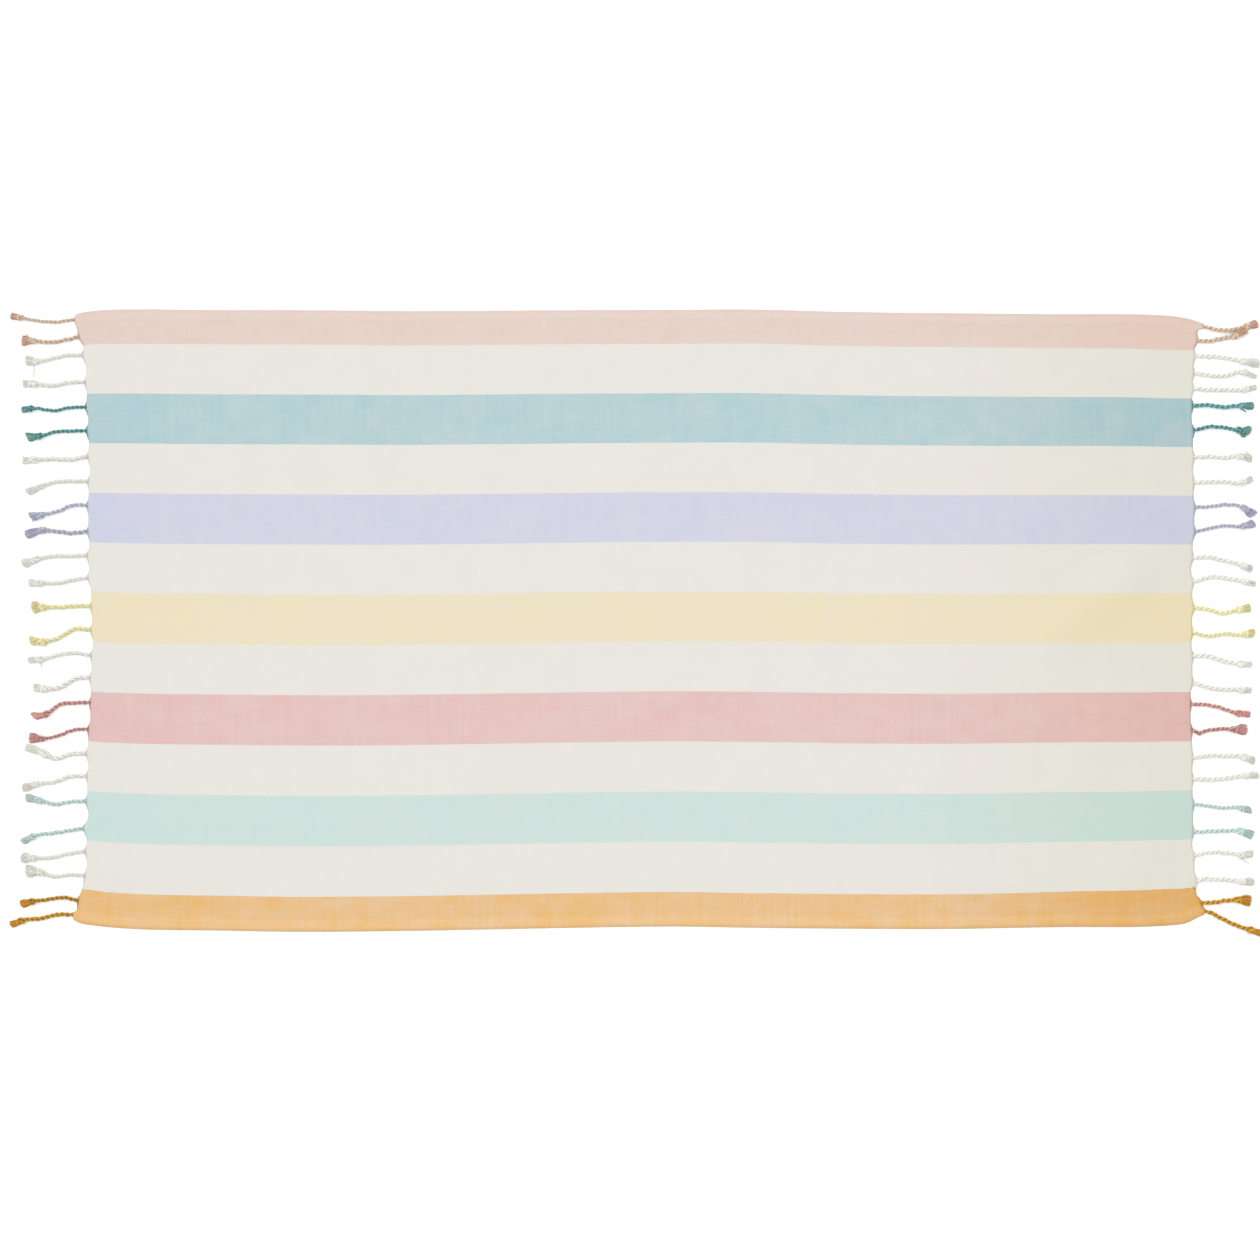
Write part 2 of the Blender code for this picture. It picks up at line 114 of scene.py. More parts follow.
rightTassels = table(
    tasselColumns,
    ("peach", 917, 476, 87, -5, -5, 0, 5, 19, 14),
    ("peach", 906, 453, 78, 0, 4, 8, 18.5, 18, 13),
    ("natural", 903, 429, 103, -1, -4, -9, -13, 26, 15),
    ("natural", 901, 401, 100, -4, -4, 2, -6, 20, 9),
    ("natural", 900, 376, 101, -2, -2, -2, 2, 19, 10),
    ("blue", 898, 348, 99, 1, -2, 0, 0, 19, 13),
    ("blue", 900, 308, 92, 6, 5, 1, -4, 18, 21),
    ("natural", 901, 265, 93, 1, -1, 2, -3, 20, 13),
    ("natural", 901, 224, 94, 1, 1, -1, 6, 17, 12),
    ("lilac", 902, 184, 96.5, 1, 4, 1.5, -14, 17, 16),
    ("lilac", 902, 144, 97, 6, 10, 8.5, 14.5, 19, 14),
    ("natural", 899, 102, 96, 1, -4, -10, -19, 15, 13),
    ("natural", 900, 63, 100, 8, 6, 2, -4, 18, 10),
    ("yellow", 901, 21, 91, -3, -9, -3, 0, 19, 15),
    ("yellow", 898.5, -19, 100.5, -6, -2, -4, 0, 16, 14),
    ("natural", 899, -57, 95, 0, -8, -12, -14, 18, 10),
    ("natural", 899, -100, 94, -8, -11, -11, -13, 17, 11),
    ("rose", 895, -135, 96, -1, -6, -14, -17, 19, 11),
    ("rose", 896.5, -177, 90.5, -1, 2, 1, 1, 22, 18),
    ("natural", 899, -222, 100, 4, 3, 3, -6, 18, 13),
    ("natural", 899, -256, 106, -1, 1, 5, 6, 21, 12),
    ("mint", 900, -297, 94, -3, -6, -5, -11, 18, 11),
    ("mint", 900, -342, 96, 1, 2, 2, -6, 21, 15),
    ("natural", 901.5, -380, 94.5, 5, 4.5, 1.5, 2.5, 20, 13),
    ("natural", 906, -422, 92, 3, 3, 0, -1, 21, 14),
    ("orange", 912, -457, 81, 1, 4, 5, 3, 22, 18),
    ("orange", 918, -470, 99, -11, -23, -31, -39, 25, 13),
)
ends = {"Left": (-1, leftTassels), "Right": (1, rightTassels)}  # which way along X each fringe points
# for some tassels, counted from 0: how high the tuft climbs to lie on its neighbour's cord, how far the cord
# bends aside close to the cloth, and how far the tuft's end is cut aslant, above 0 to be longer on the left
laidOver = {"Left": {}, "Right": {1: 5.5}}
bends = {"Left": {}, "Right": {18: -5.5, 24: 4.5, 26: 1.5}}
leans = {
    "Left": {5: -1.0, 8: -0.8, 9: -0.3, 12: -0.3, 13: -0.5, 16: -1.2, 17: 0,
             20: -0.7, 21: -0.4, 24: -0.2, 25: -0.3},
    "Right": {0: 0, 5: 0, 6: 0.6, 9: 0.8, 10: -0.5, 18: 0, 21: -0.6, 22: 0.4, 25: 0},
}

# how deep the end's line dips between each tassel and the next one
dips = {
    "Left": (0, 1.6, 2.9, 1.3, 2.8, 2.8, 4, 1.4, 1.2, 2.8, 1.9, 0.8, 1.7, 3.3, 1.4, 1, 0.4, 0.2, 3.4, 1.7, 4,
             2.8, 3.2, 0.6, 0),
    "Right": (0, 1.9, 1, 2, 0.9, 1.5, 1.6, 1.8, 1.2, 1.2, 0.8, 3.3, 2.4, 1.4, 2.3, 1.5, 0.3, 0.2, 0, 1.4, 1,
              1.3, 2.8, 0.7, 2.5, 0),
}

# how far the fringe draws the stripes in towards the middle, beside the far and beside the near edge, and how
# far the middle ones go towards the far edge
pulls = table(
    "x far near middle",
    (-905, 4.2, 8.0, 2.6),
    (-895, 3.2, 7.0, 2.2),
    (-888, 1.8, 6.0, 1.6),
    (-880, 0.8, 4.3, 1.0),
    (-872, 0.3, 3.0, 0.5),
    (-862, 0, 1.5, 0.2),
    (-840, 0, 0.8, 0),
    (-600, 0, 0, 0),
    (600, 0, 0, 0),
    (748, 0.9, 3.2, 0),
    (813, 1.6, 4.1, 0),
    (853, 1.9, 4.9, 0),
    (874, 2.2, 5.2, 0),
    (884, 2.4, 6.0, 0),
    (890, 2.4, 6.6, 0),
    (905, 1.8, 7.6, 0),
)

# where the cloth lifts a little: each low swell's middle, half length and half width, its turn in degrees
# from X, and its height
moundColumns = "x y halfLength halfWidth turn height"
swells = table(
    moundColumns,
    (765, 48, 170, 50, 38, 4.2),
    (815, -400, 110, 60, 25, 2.6),
    (-450, 320, 60, 150, 4, 2.6),
    (-80, -190, 240, 90, 8, 2.4),
    (300, 270, 220, 80, -12, 2.6),
    (-690, -330, 130, 65, -32, 2.8),
    (480, -330, 70, 160, 12, 2.4),
)
# and the soft creases and ridges on it
creases = table(
    moundColumns,
    (-447, 326, 52, 8, 73, -1.5),
    (-462, 316, 62, 12, 75, 1.3),
    (790, 60, 150, 34, 36, 1.3),
    (650, 178, 80, 26, 45, 1.1),
    (-480, -60, 160, 14, 88, 0.25),
    (-80, 60, 260, 16, 91, 0.25),
    (430, -60, 240, 15, 89, 0.3),
    (700, -230, 120, 18, 62, 0.35),
    (-760, -240, 90, 18, -40, 0.35),
    (120, -380, 80, 12, 74, -0.3),
    (-60, -430, 60, 9, 66, 0.35),
    (560, 380, 110, 16, 80, 0.3),
)

clothSizes = {
    "dyes": ["peach", "natural", "blue", "natural", "lilac", "natural", "yellow",
             "natural", "rose", "natural", "mint", "natural", "orange"],  # from the far edge
    "stripe": 80.8 * mm,
    "outerStripe": 55.8 * mm,
    "cut": (1.0, 1.8),  # width and length of the cloth as flat
    "thick": 1.05 * mm,
    "endThick": 0.7 * mm,  # at the raw ends
    "endThins": (880 * mm, 905 * mm),
    "edgeIn": {"far": 1.8 * mm, "near": 2.4 * mm},  # how far each long edge lies inside the solid's
    "edgeInEnds": (650 * mm, 880 * mm),
    "stripesBow": 2.6 * mm,  # how far the middle stripes bend towards the far edge
    "bowGrows": 1.5 * mm,  # for each metre along X
    "swellsEnd": (790 * mm, 880 * mm),
    "swellSunk": 0.8 * mm,
    "stripesHold": 850 * mm,  # past this the corners round off and the stripes run on straight
    "scallopBend": 4,  # the higher, the later the end's line leaves the inner of two roots
    # and for some gaps between the tassels, counted from 0
    "otherBends": {"Left": {0: 1, 23: 1.2}, "Right": {0: 12, 18: 1.5, 23: 2.5, 24: 2.5, 25: 1.5}},
    "cornerBack": 1.5 * mm,
    "edgeBack": 0.5 * mm,  # the woven edge stays this far inside the end's line
    "offFloor": 0.05 * mm,
    "ripple": 0.22 * mm,
    "rippleLengths": (45 * mm, 170 * mm),
    "ripples": 26,
    "rowsEach": 15,  # rows of points over one stripe
    "columns": 176,
    "endColumns": 9,
    "endZone": 858 * mm,  # the columns before this are straight
}

hemSizes = {
    "width": {"far": (14.8 * mm, 16.0 * mm), "near": (15.8 * mm, 16.7 * mm)},  # in its middle and at its ends
    "widens": (250 * mm, 760 * mm),
    "wavers": ((0.5 * mm, 71 * mm, 0), (0.4 * mm, 29 * mm, 2)),  # how far, over what length, and from where
    "drawn": (901 * mm, 919 * mm),  # where the last tassel draws it together
    "drawnTo": 0.52,  # of its width
    "thick": {"far": 0.42 * mm, "near": 0.85 * mm},  # that the fold adds
    "step": (-1.0 * mm, 2.6 * mm),  # how that falls away past the inner fold
    "outerFold": (-0.6 * mm, 1.6 * mm),
    "crown": 0.2 * mm,
    "furrow": 0.08 * mm,  # under the stitches
    "furrowWidth": 0.7 * mm,
    "lip": {"far": 0.0, "near": 0.1 * mm},  # how much the inner fold stands out
    "lipWidth": 0.9 * mm,
    "pucker": 0.22 * mm,  # where the stitching draws the cloth up
    "puckerLengths": (16 * mm, 44 * mm),
    "puckerReach": 24 * mm,
}

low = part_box("cloth")[0]
tableLow = np.array([-917.01, -506.03]) * mm  # the same corner in the tables' own places
shift = np.array([low.x - tableLow[0], low.y - tableLow[1], low.z])


def smoothThrough(places, values):
    # a smooth curve through the values at these places
    places = np.array(places, float)
    values = np.array(values, float)
    slopes = np.gradient(values)
    slopes[1:-1] = (values[2:] - values[:-2]) / (places[2:] - places[:-2])
    slopes[0] = (values[1] - values[0]) / (places[1] - places[0])
    slopes[-1] = (values[-1] - values[-2]) / (places[-1] - places[-2])

    def at(x):
        x = np.clip(x, places[0], places[-1])
        k = np.clip(np.searchsorted(places, x, side="right") - 1, 0, len(places) - 2)
        step = places[k + 1] - places[k]
        t = (x - places[k]) / step
        rise = values[k + 1] - values[k]
        bend = (1 - t) * (slopes[k] * step - rise) + t * (rise - slopes[k + 1] * step)
        return values[k] + t * rise + t * (1 - t) * bend

    return at


def smoothStep(x, start, end):
    t = np.clip((x - start) / (end - start), 0, 1)
    return t * t * (3 - 2 * t)


def throughRows(rows, column):
    return smoothThrough([row.x * mm for row in rows], [getattr(row, column) * mm for row in rows])


solidFar, solidNear = [throughRows(longEdges, column) for column in ("far", "near")]
pullFar, pullNear, pullMiddle = [throughRows(pulls, column) for column in ("far", "near", "middle")]
clothWidth = 2 * clothSizes["outerStripe"] + (len(clothSizes["dyes"]) - 2) * clothSizes["stripe"]
borders = clothSizes["outerStripe"] + clothSizes["stripe"] * np.arange(len(clothSizes["dyes"]) - 1)
nearness = 2 * borders / clothWidth - 1  # from -1 at the far edge to 1 at the near one


def edgeInside(x, edge):
    return clothSizes["edgeIn"][edge] * (1 - smoothStep(np.abs(x), *clothSizes["edgeInEnds"]))


def farEdge(x):
    return solidFar(x) - edgeInside(x, "far")


def nearEdge(x):
    return solidNear(x) + edgeInside(x, "near")


def hemWidth(x, edge):
    middle, atEnds = hemSizes["width"][edge]
    width = middle + (atEnds - middle) * smoothStep(np.abs(x), *hemSizes["widens"])
    for height, length, start in hemSizes["wavers"]:
        width = width + height * np.sin(x / length + start)
    return width * (1 - (1 - hemSizes["drawnTo"]) * smoothStep(np.abs(x), *hemSizes["drawn"]))


hemRow = 13 * mm  # the hem's inner fold as a place across the flat cloth
hemClear = 21 * mm  # and where plain cloth has begun


def acrossCloth(v, x):
    # Y of the line that is v from the far edge of the flat cloth, at x along it
    xHeld = np.clip(x, -clothSizes["stripesHold"], clothSizes["stripesHold"])
    far, near = farEdge(xHeld), nearEdge(xHeld)
    bow = clothSizes["stripesBow"] + clothSizes["bowGrows"] * xHeld
    lines = far + (near - far) * borders / clothWidth + bow * np.sin(math.pi * borders / clothWidth)
    lines = lines + np.where(nearness > 0, pullNear(x), -pullFar(x)) * nearness ** 2
    lines = lines + pullMiddle(x) * (1 - nearness ** 2)
    farY = [farEdge(x), farEdge(x) - hemClear * hemWidth(x, "far") / hemRow]
    nearY = [nearEdge(x) + hemClear * hemWidth(x, "near") / hemRow, nearEdge(x)]
    marks = [0, hemClear, *borders, clothWidth - hemClear, clothWidth]
    return np.interp(v, marks, [*farY, *lines, *nearY])


# how the end's line runs between each tassel and the next: how late it bends outwards, and how deep it dips
Gap = namedtuple("Gap", "bend depth")
gaps = {}
for name, otherBends in clothSizes["otherBends"].items():
    gaps[name] = [Gap(otherBends.get(number, clothSizes["scallopBend"]), dip * mm * luck.uniform(0.9, 1.1))
                  for number, dip in enumerate(dips[name])]


def rootSides(tassel):
    half = cordSizes["rootWidth"] / 2
    return tassel.rootY * mm + half, tassel.rootY * mm - half


def endLine(name, y):
    # X of the cloth's end at y: out at each tassel's root, and drawn back in a scallop between two
    side, tassels = ends[name]
    if y > rootSides(tassels[0])[0]:
        return side * (tassels[0].rootX * mm - clothSizes["cornerBack"])
    if y < rootSides(tassels[-1])[1]:
        return side * (tassels[-1].rootX * mm - clothSizes["cornerBack"])
    for a, b, gap in zip(tassels, tassels[1:], gaps[name]):
        top, foot = rootSides(a)[1], rootSides(b)[0]
        if foot < y < top:
            t = (top - y) / (top - foot)
            outer, inner = max(a.rootX, b.rootX), min(a.rootX, b.rootX)
            fromInner = t if b.rootX > a.rootX else 1 - t
            straight = (inner + (outer - inner) * fromInner ** gap.bend) * mm
            return side * (straight - gap.depth * math.sin(math.pi * t) ** 0.8)
    return side * mm * min(tassels, key=lambda tassel: abs(tassel.rootY * mm - y)).rootX


def mound(x, y, rows):
    height = np.zeros(np.broadcast(x, y).shape)
    for row in rows:
        turn = math.radians(row.turn)
        dx, dy = x - row.x * mm, y - row.y * mm
        along = (dx * math.cos(turn) + dy * math.sin(turn)) / (row.halfLength * mm)
        across = (dy * math.cos(turn) - dx * math.sin(turn)) / (row.halfWidth * mm)
        height = height + row.height * mm * np.exp(-along * along - across * across)
    return height


def rippleSet():
    # long low waves that cross the cloth, more of them weft-wise than not
    shortest, longest = clothSizes["rippleLengths"]
    waves = []
    for _ in range(clothSizes["ripples"]):
        length = shortest * (longest / shortest) ** luck.random()
        turn = luck.normal(0, 0.5)
        waves.append((2 * math.pi / length, turn, luck.random() * 2 * math.pi, luck.normal(0, 1)))
    return waves


waves = rippleSet()
puckers = [(2 * math.pi / luck.uniform(*hemSizes["puckerLengths"]), luck.random() * 7) for _ in range(5)]


def lift(x, y):
    # how far the cloth's underside stands off the floor
    fade = 1 - smoothStep(np.abs(x), *clothSizes["swellsEnd"])
    height = (mound(x, y, swells) - clothSizes["swellSunk"]) * fade
    ripple = np.zeros(np.broadcast(x, y).shape)
    for number, turn, phase, share in waves:
        ripple = ripple + share * np.sin(number * (x * math.cos(turn) + y * math.sin(turn)) + phase)
    ripple = clothSizes["ripple"] * (ripple / math.sqrt(len(waves)) + 0.8)
    inside = np.minimum(farEdge(x) - y, y - nearEdge(x))
    drawn = sum(np.sin(number * x + phase) for number, phase in puckers) / len(puckers) + 0.5
    pucker = hemSizes["pucker"] * drawn * np.exp(-(inside / hemSizes["puckerReach"]) ** 2)
    height = np.maximum(height, 0) + np.maximum(ripple, 0) + np.maximum(pucker, 0)
    return np.maximum(height + mound(x, y, creases), 0) + clothSizes["offFloor"]


def thickness(v, x):
    # plain cloth, or the turned hem with its rounded fold, its stitched furrow and its inner step
    edge = np.minimum(v, clothWidth - v)
    isFar = v < clothWidth / 2
    rise, lip = [np.where(isFar, hemSizes[key]["far"], hemSizes[key]["near"]) for key in ("thick", "lip")]
    stepStart, stepEnd = hemSizes["step"]
    hem = rise * (1 - smoothStep(edge, hemRow + stepStart, hemRow + stepEnd))
    fold = 1 - 0.75 * (1 - smoothStep(edge, *hemSizes["outerFold"])) ** 2
    crown = hemSizes["crown"] * np.sin(np.clip(edge / hemRow, 0, 1) * math.pi)
    fromStitch = edge - hemRow + stitchSizes["inFromFold"]
    furrow = hemSizes["furrow"] * np.exp(-(fromStitch / hemSizes["furrowWidth"]) ** 2)
    lip = lip * np.exp(-((edge - hemRow + 0.2 * mm) / hemSizes["lipWidth"]) ** 2)
    side = np.where(edge < hemRow * 1.4, 1, 0)
    atEnd = smoothStep(np.abs(x), *clothSizes["endThins"]) * (1 - side)
    plain = clothSizes["thick"] + (clothSizes["endThick"] - clothSizes["thick"]) * atEnd
    return (plain + hem) * fold + (crown - furrow + lip) * side


class Wire:
    # one output in a material's nodes: sums on it add Math nodes
    def __init__(self, tree, socket=None):
        self.tree = tree
        self.socket = socket

    def node(self, kind, settings, inputs, output=0):
        made = self.tree.nodes.new(kind)
        for name, value in settings.items():
            if name == "stops":
                fillRamp(made.color_ramp, value)
            else:
                setattr(made, name, value)
        for name, value in inputs.items():
            if isinstance(value, Wire):
                self.tree.links.new(value.socket, made.inputs[name])
            else:
                made.inputs[name].default_value = value
        return Wire(self.tree, made.outputs[output])

    def other(self, output):
        return Wire(self.tree, self.socket.node.outputs[output])

    def math(self, operation, first, second=0.0):
        return self.node("ShaderNodeMath", {"operation": operation}, {0: first, 1: second})

    def __add__(self, other):
        return self.math("ADD", self, other)

    def __sub__(self, other):
        return self.math("SUBTRACT", self, other)

    def __rsub__(self, other):
        return self.math("SUBTRACT", other, self)

    def __mul__(self, other):
        return self.math("MULTIPLY", self, other)

    __radd__ = __add__
    __rmul__ = __mul__

    def cosine(self):
        return self.math("COSINE", self)

    def floor(self):
        return self.math("FLOOR", self)

    def between(self, least, most):
        return self.math("MINIMUM", self.math("MAXIMUM", self, least), most)

    def ramp(self, start, end):
        settings = {"interpolation_type": "SMOOTHSTEP"}
        return self.node("ShaderNodeMapRange", settings, {"Value": self, "From Min": start, "From Max": end})

    def colours(self, stops, interpolation="LINEAR"):
        return self.node("ShaderNodeValToRGB", {"stops": (interpolation, stops)}, {"Fac": self})

    def stretched(self, x, y, z=0.0):
        return self.node("ShaderNodeVectorMath", {"operation": "MULTIPLY"}, {0: self, 1: (x, y, z)})

    def noise(self, detail=2.0, start=0.0):
        moved = self.node("ShaderNodeVectorMath", {"operation": "ADD"}, {0: self, 1: (start, start, start)})
        return self.node("ShaderNodeTexNoise", {}, {"Vector": moved, "Scale": 1.0, "Detail": detail}) - 0.5

    def mixed(self, first, second):
        # this wire chooses between two colours
        return self.node("ShaderNodeMix", {"data_type": "RGBA"}, {0: self, 6: first, 7: second}, 2)

    def dimmed(self, tint):
        settings = {"data_type": "RGBA", "blend_type": "MULTIPLY"}
        return self.node("ShaderNodeMix", settings, {0: 1.0, 6: self, 7: tint}, 2)

    def laidOut(self, uvName):
        # the places on a piece's uv map, and their two numbers
        places = self.node("ShaderNodeUVMap", {"uv_map": uvName}, {})
        u = self.node("ShaderNodeSeparateXYZ", {}, {0: places})
        return places, u, u.other("Y")

    def bump(self, height, distance, strength=1.0):
        return self.node("ShaderNodeBump", {}, {"Height": height, "Distance": distance, "Strength": strength})


def fillRamp(ramp, stops):
    interpolation, rows = stops
    ramp.interpolation = interpolation
    ramp.elements.remove(ramp.elements[-1])
    ramp.elements[0].position, ramp.elements[0].color = rows[0]
    for place, colour in rows[1:]:
        ramp.elements.new(place).color = colour


def linear(colour):
    return np.array([((c / 255 + 0.055) / 1.055) ** 2.4 for c in colour])


def solidColour(values):
    return (*[float(min(max(value, 0.0), 1.0)) for value in values], 1.0)


def newMaterial(name, roughness, settings=()):
    material = bpy.data.materials.new(name)
    material.use_nodes = True
    shader = material.node_tree.nodes["Principled BSDF"]
    shader.inputs["Roughness"].default_value = roughness
    shader.inputs["Specular IOR Level"].default_value = 0.25
    for socket, value in settings:
        shader.inputs[socket].default_value = value
    return material, shader, Wire(material.node_tree)


def attach(material, wire, shader, socket):
    material.node_tree.links.new(wire.socket, shader.inputs[socket])


# each dye as woven, where white weft thins it, and in the hard-twisted cords and the loose tufts, which are
# the warp alone; then how much painted shade darkens it in the furrows between plies, and how plump its cords
# are
Dye = namedtuple("Dye", "woven cord tuft furrow plump")
dyes = {
    "natural": Dye((236, 232, 226), (237, 236, 228), (246, 244, 235), 0.96, 1.18),
    "peach": Dye((232, 212, 202), (223, 194, 171), (226, 180, 153), 0.68, 1.02),
    "blue": Dye((186, 211, 215), (95, 161, 159), (119, 172, 171), 0.38, 1.02),
    "lilac": Dye((213, 215, 231), (190, 193, 210), (193, 194, 220), 0.70, 1.04),
    "yellow": Dye((240, 228, 199), (239, 233, 177), (248, 233, 176), 0.90, 1.20),
    "rose": Dye((232, 198, 195), (206, 146, 137), (229, 164, 159), 0.54, 1.02),
    "mint": Dye((210, 228, 223), (198, 222, 216), (199, 222, 210), 0.74, 1.04),
    "orange": Dye((237, 195, 138), (207, 146, 18), (221, 151, 16), 0.50, 1.05),
}

# painted shade: how much of each stripe's red, green and blue is left at the right end, which the light
# leaves darker and warmer
endShadeTints = {
    "natural": (0.962, 0.965, 0.914),
    "peach": (0.994, 0.966, 0.936),
    "blue": (1.0, 0.940, 0.924),
    "lilac": (0.980, 0.967, 0.936),
    "yellow": (0.980, 0.971, 0.923),
    "rose": (0.963, 0.961, 0.895),
    "mint": (0.963, 0.951, 0.913),
    "orange": (0.937, 0.900, 0.868),
}

weaveLook = {
    "light": 1.15,  # the studio light on the cloth, which the colours above allow for
    "pitch": 0.8 * mm,  # from one yarn to the next
    "apart": 0.55,  # how far warp and weft stand either side of a stripe's own colour
    "show": 0.30,  # how much of that the weave shows
    "borders": 1.4 * mm,  # how far they waver
    "leftDeepens": (0.26, 0.0),  # places along the flat cloth, from its left end
    # painted shade towards the right end: where the stripes deepen and warm, and how much; the left end
    # deepens a little, too
    "rightShadeSpan": (1.44, 1.80),
    "rightShadeTintSpan": (1.30, 1.80),
    "leftDeeper": 0.096,
    "rightShade": 0.16,
    "darkest": 0.78,  # of its tone
    "hemPaler": (0.08, 0.17),  # the folded hems at the far and the near edge
    # painted shade on the rounded outer folds of the far and the near hem, and how far in from the edge it
    # grows
    "foldShade": (0.22, 0.46),
    "foldShadeSpan": (5.2 * mm, 1.6 * mm),
    "rise": 0.10 * mm,
}

# how the dye comes and goes: how often in a metre along and across the cloth, how finely, from what place of
# the noise, and how strongly
Wander = namedtuple("Wander", "along across detail start share")
wanders = {
    "fleck": Wander(330, 520, 3.0, 0.0, 0.42),
    "slub": Wander(26, 620, 2.0, 3.7, 0.32),
    "bars": Wander(150, 7, 2.0, 8.1, 0.29),
    "patches": Wander(34, 42, 3.0, 6.2, 0.40),
    "clouds": Wander(14, 14, 2.0, 5.3, 0.34),
}


def wovenStripes():
    sheen = [("Sheen Weight", 0.12), ("Sheen Roughness", 0.6)]
    material, shader, maker = newMaterial("wovenStripes", 0.93, sheen)
    cut, u, v = maker.laidOut("cut")
    # the dyed warp and the white weft of each stripe, whose borders waver by a yarn
    wavered = v + cut.stretched(190, 8).noise(1.0) * weaveLook["borders"]
    natural = linear(dyes["natural"].woven) / weaveLook["light"]
    count = len(clothSizes["dyes"])
    warpStops, weftStops, endShadeStops = [], [], []
    for k, name in enumerate(clothSizes["dyes"]):
        woven = linear(dyes[name].woven) / weaveLook["light"]
        apart = (woven - natural) * weaveLook["apart"]
        colours = (woven + apart, woven - apart, endShadeTints[name])
        for stops, colour in zip((warpStops, weftStops, endShadeStops), colours):
            stops.append((k / count, solidColour(colour)))
    # the middle of each stripe's share of the ramp, because a ramp's own borders are coarse
    number = ((wavered - clothSizes["outerStripe"]) * (1 / clothSizes["stripe"])).floor()
    place = (number + 1.5) * (1 / count)
    warp, weft = [place.colours(stops, "CONSTANT") for stops in (warpStops, weftStops)]
    # plain weave: warp on top in every other cell
    turn = math.pi / weaveLook["pitch"]
    crossings = (u * turn).cosine() * (v * turn).cosine()
    cover = (crossings * 3.0).between(-1.0, 1.0) * (0.5 * weaveLook["show"]) + 0.5
    wander = {}
    for name, row in wanders.items():
        wander[name] = cut.stretched(row.along, row.across).noise(row.detail, row.start)
        cover = cover + wander[name] * row.share
    # painted shade deepens the dye towards the right end; the left end deepens a little too
    cover = cover + u.ramp(*weaveLook["rightShadeSpan"]) * weaveLook["rightShade"]
    cover = cover + u.ramp(*weaveLook["leftDeepens"]) * weaveLook["leftDeeper"]
    colour = cover.between(0.0, 1.0).mixed(weft, warp)
    # every stripe is a little uneven in tone, the white ones too
    tone = cut.stretched(60, 300).noise(2.0, 1.9) * 0.05 + wander["bars"] * 0.05
    tone = tone + wander["patches"] * 0.10 + wander["clouds"] * 0.11 + 0.5
    # the hems are paler than the cloth beside them, and their outer folds get painted shade
    for inside, paler, shadeDeeper in zip((v, clothWidth - v), weaveLook["hemPaler"], weaveLook["foldShade"]):
        tone = tone + inside.ramp(hemRow + 0.5 * mm, hemRow - 0.5 * mm) * paler
        tone = tone - inside.ramp(*weaveLook["foldShadeSpan"]) * shadeDeeper
    white = solidColour((1.0, 1.0, 1.0))
    colour = colour.dimmed(tone.colours([(0.0, solidColour([weaveLook["darkest"]] * 3)), (1.0, white)]))
    # and painted shade: each stripe darkens and warms in its own way towards the right end
    endShade = u.ramp(*weaveLook["rightShadeTintSpan"]).mixed(white, place.colours(endShadeStops, "CONSTANT"))
    attach(material, colour.dimmed(endShade), shader, "Base Color")
    relief = crossings.math("ABSOLUTE", crossings) + wander["slub"] * 0.8 + wander["fleck"] * 0.5
    attach(material, maker.bump(relief, weaveLook["rise"], 0.6), shader, "Normal")
    return material


yarnLook = {
    "light": 1.15,
    "twist": 2.6 * mm,  # how far along one yarn's own twist goes round
    "yarns": 9,  # round one ply
    "crown": 0.72,  # painted highlight where a ply stands out: the lower, the paler its fibres look
    "ridges": 0.14,  # how strongly these show in its tone, as painted shade in the grooves and painted highlight on the ridges
    "fibres": 0.4,
    "patches": 0.5,
    "tones": 0.5,
    "middle": 0.72,  # its tone without them
    "rise": 0.16 * mm,
}


def twistedYarn(name, dyed, furrow):
    material, shader, maker = newMaterial(name, 0.9, [("Sheen Weight", 0.15), ("Sheen Roughness", 0.55)])
    yarn, u, v = maker.laidOut("yarn")
    tone, deep = [maker.node("ShaderNodeAttribute", {"attribute_name": key}, {}, "Fac")
                  for key in ("tone", "deep")]
    around = v * (2 * math.pi * yarnLook["yarns"]) + u * (2 * math.pi / yarnLook["twist"])
    ridges = around.cosine()
    fibres = yarn.stretched(700, 40).noise(3.0)
    patches = yarn.stretched(90, 2).noise(2.0, 4.4)
    full = linear(dyed) / yarnLook["light"]
    # painted highlight: a paler copy of the dye for where a ply stands out
    crown = full ** yarnLook["crown"]
    # the ridges and deep paint shade and highlight; fibres and patches vary the yarn itself, and tone does
    # both
    cover = ridges * yarnLook["ridges"] + fibres * yarnLook["fibres"] + patches * yarnLook["patches"]
    cover = cover + tone * yarnLook["tones"] + yarnLook["middle"] - deep
    # from painted shade in the furrows, through the dye, to the painted highlight
    colour = cover.between(0.0, 1.0).colours([
        (0.0, solidColour(full * furrow)),
        (0.55, solidColour(full)),
        (1.0, solidColour(crown)),
    ])
    attach(material, colour, shader, "Base Color")
    attach(material, maker.bump(ridges * 0.5 + fibres * 1.5, yarnLook["rise"], 0.7), shader, "Normal")
    return material


def sewingThread(name, colour):
    material, shader, maker = newMaterial(name, 0.7, [("Sheen Weight", 0.2)])
    _, u, v = maker.laidOut("yarn")
    plies = (u * (2 * math.pi / stitchSizes["twist"]) + v * (4 * math.pi)).cosine()
    full = linear(colour) / weaveLook["light"]
    # painted shade: each thread a little darker between its plies
    pliesShaded = (plies * 0.5 + 0.5).mixed(solidColour(full * 0.93), solidColour(full))
    attach(material, pliesShaded, shader, "Base Color")
    attach(material, maker.bump(plies, 0.06 * mm, 0.6), shader, "Normal")
    return material


def paleFloor():
    material, shader, maker = newMaterial("paleFloor", 0.95, [("Specular IOR Level", 0.0)])
    where = maker.node("ShaderNodeTexCoord", {}, {}, "Object")
    tone = where.stretched(3, 3).noise(2.0)
    colour = (tone + 0.5).mixed((0.955, 0.955, 0.945, 1), (0.965, 0.965, 0.958, 1))
    attach(material, colour, shader, "Base Color")
    return material


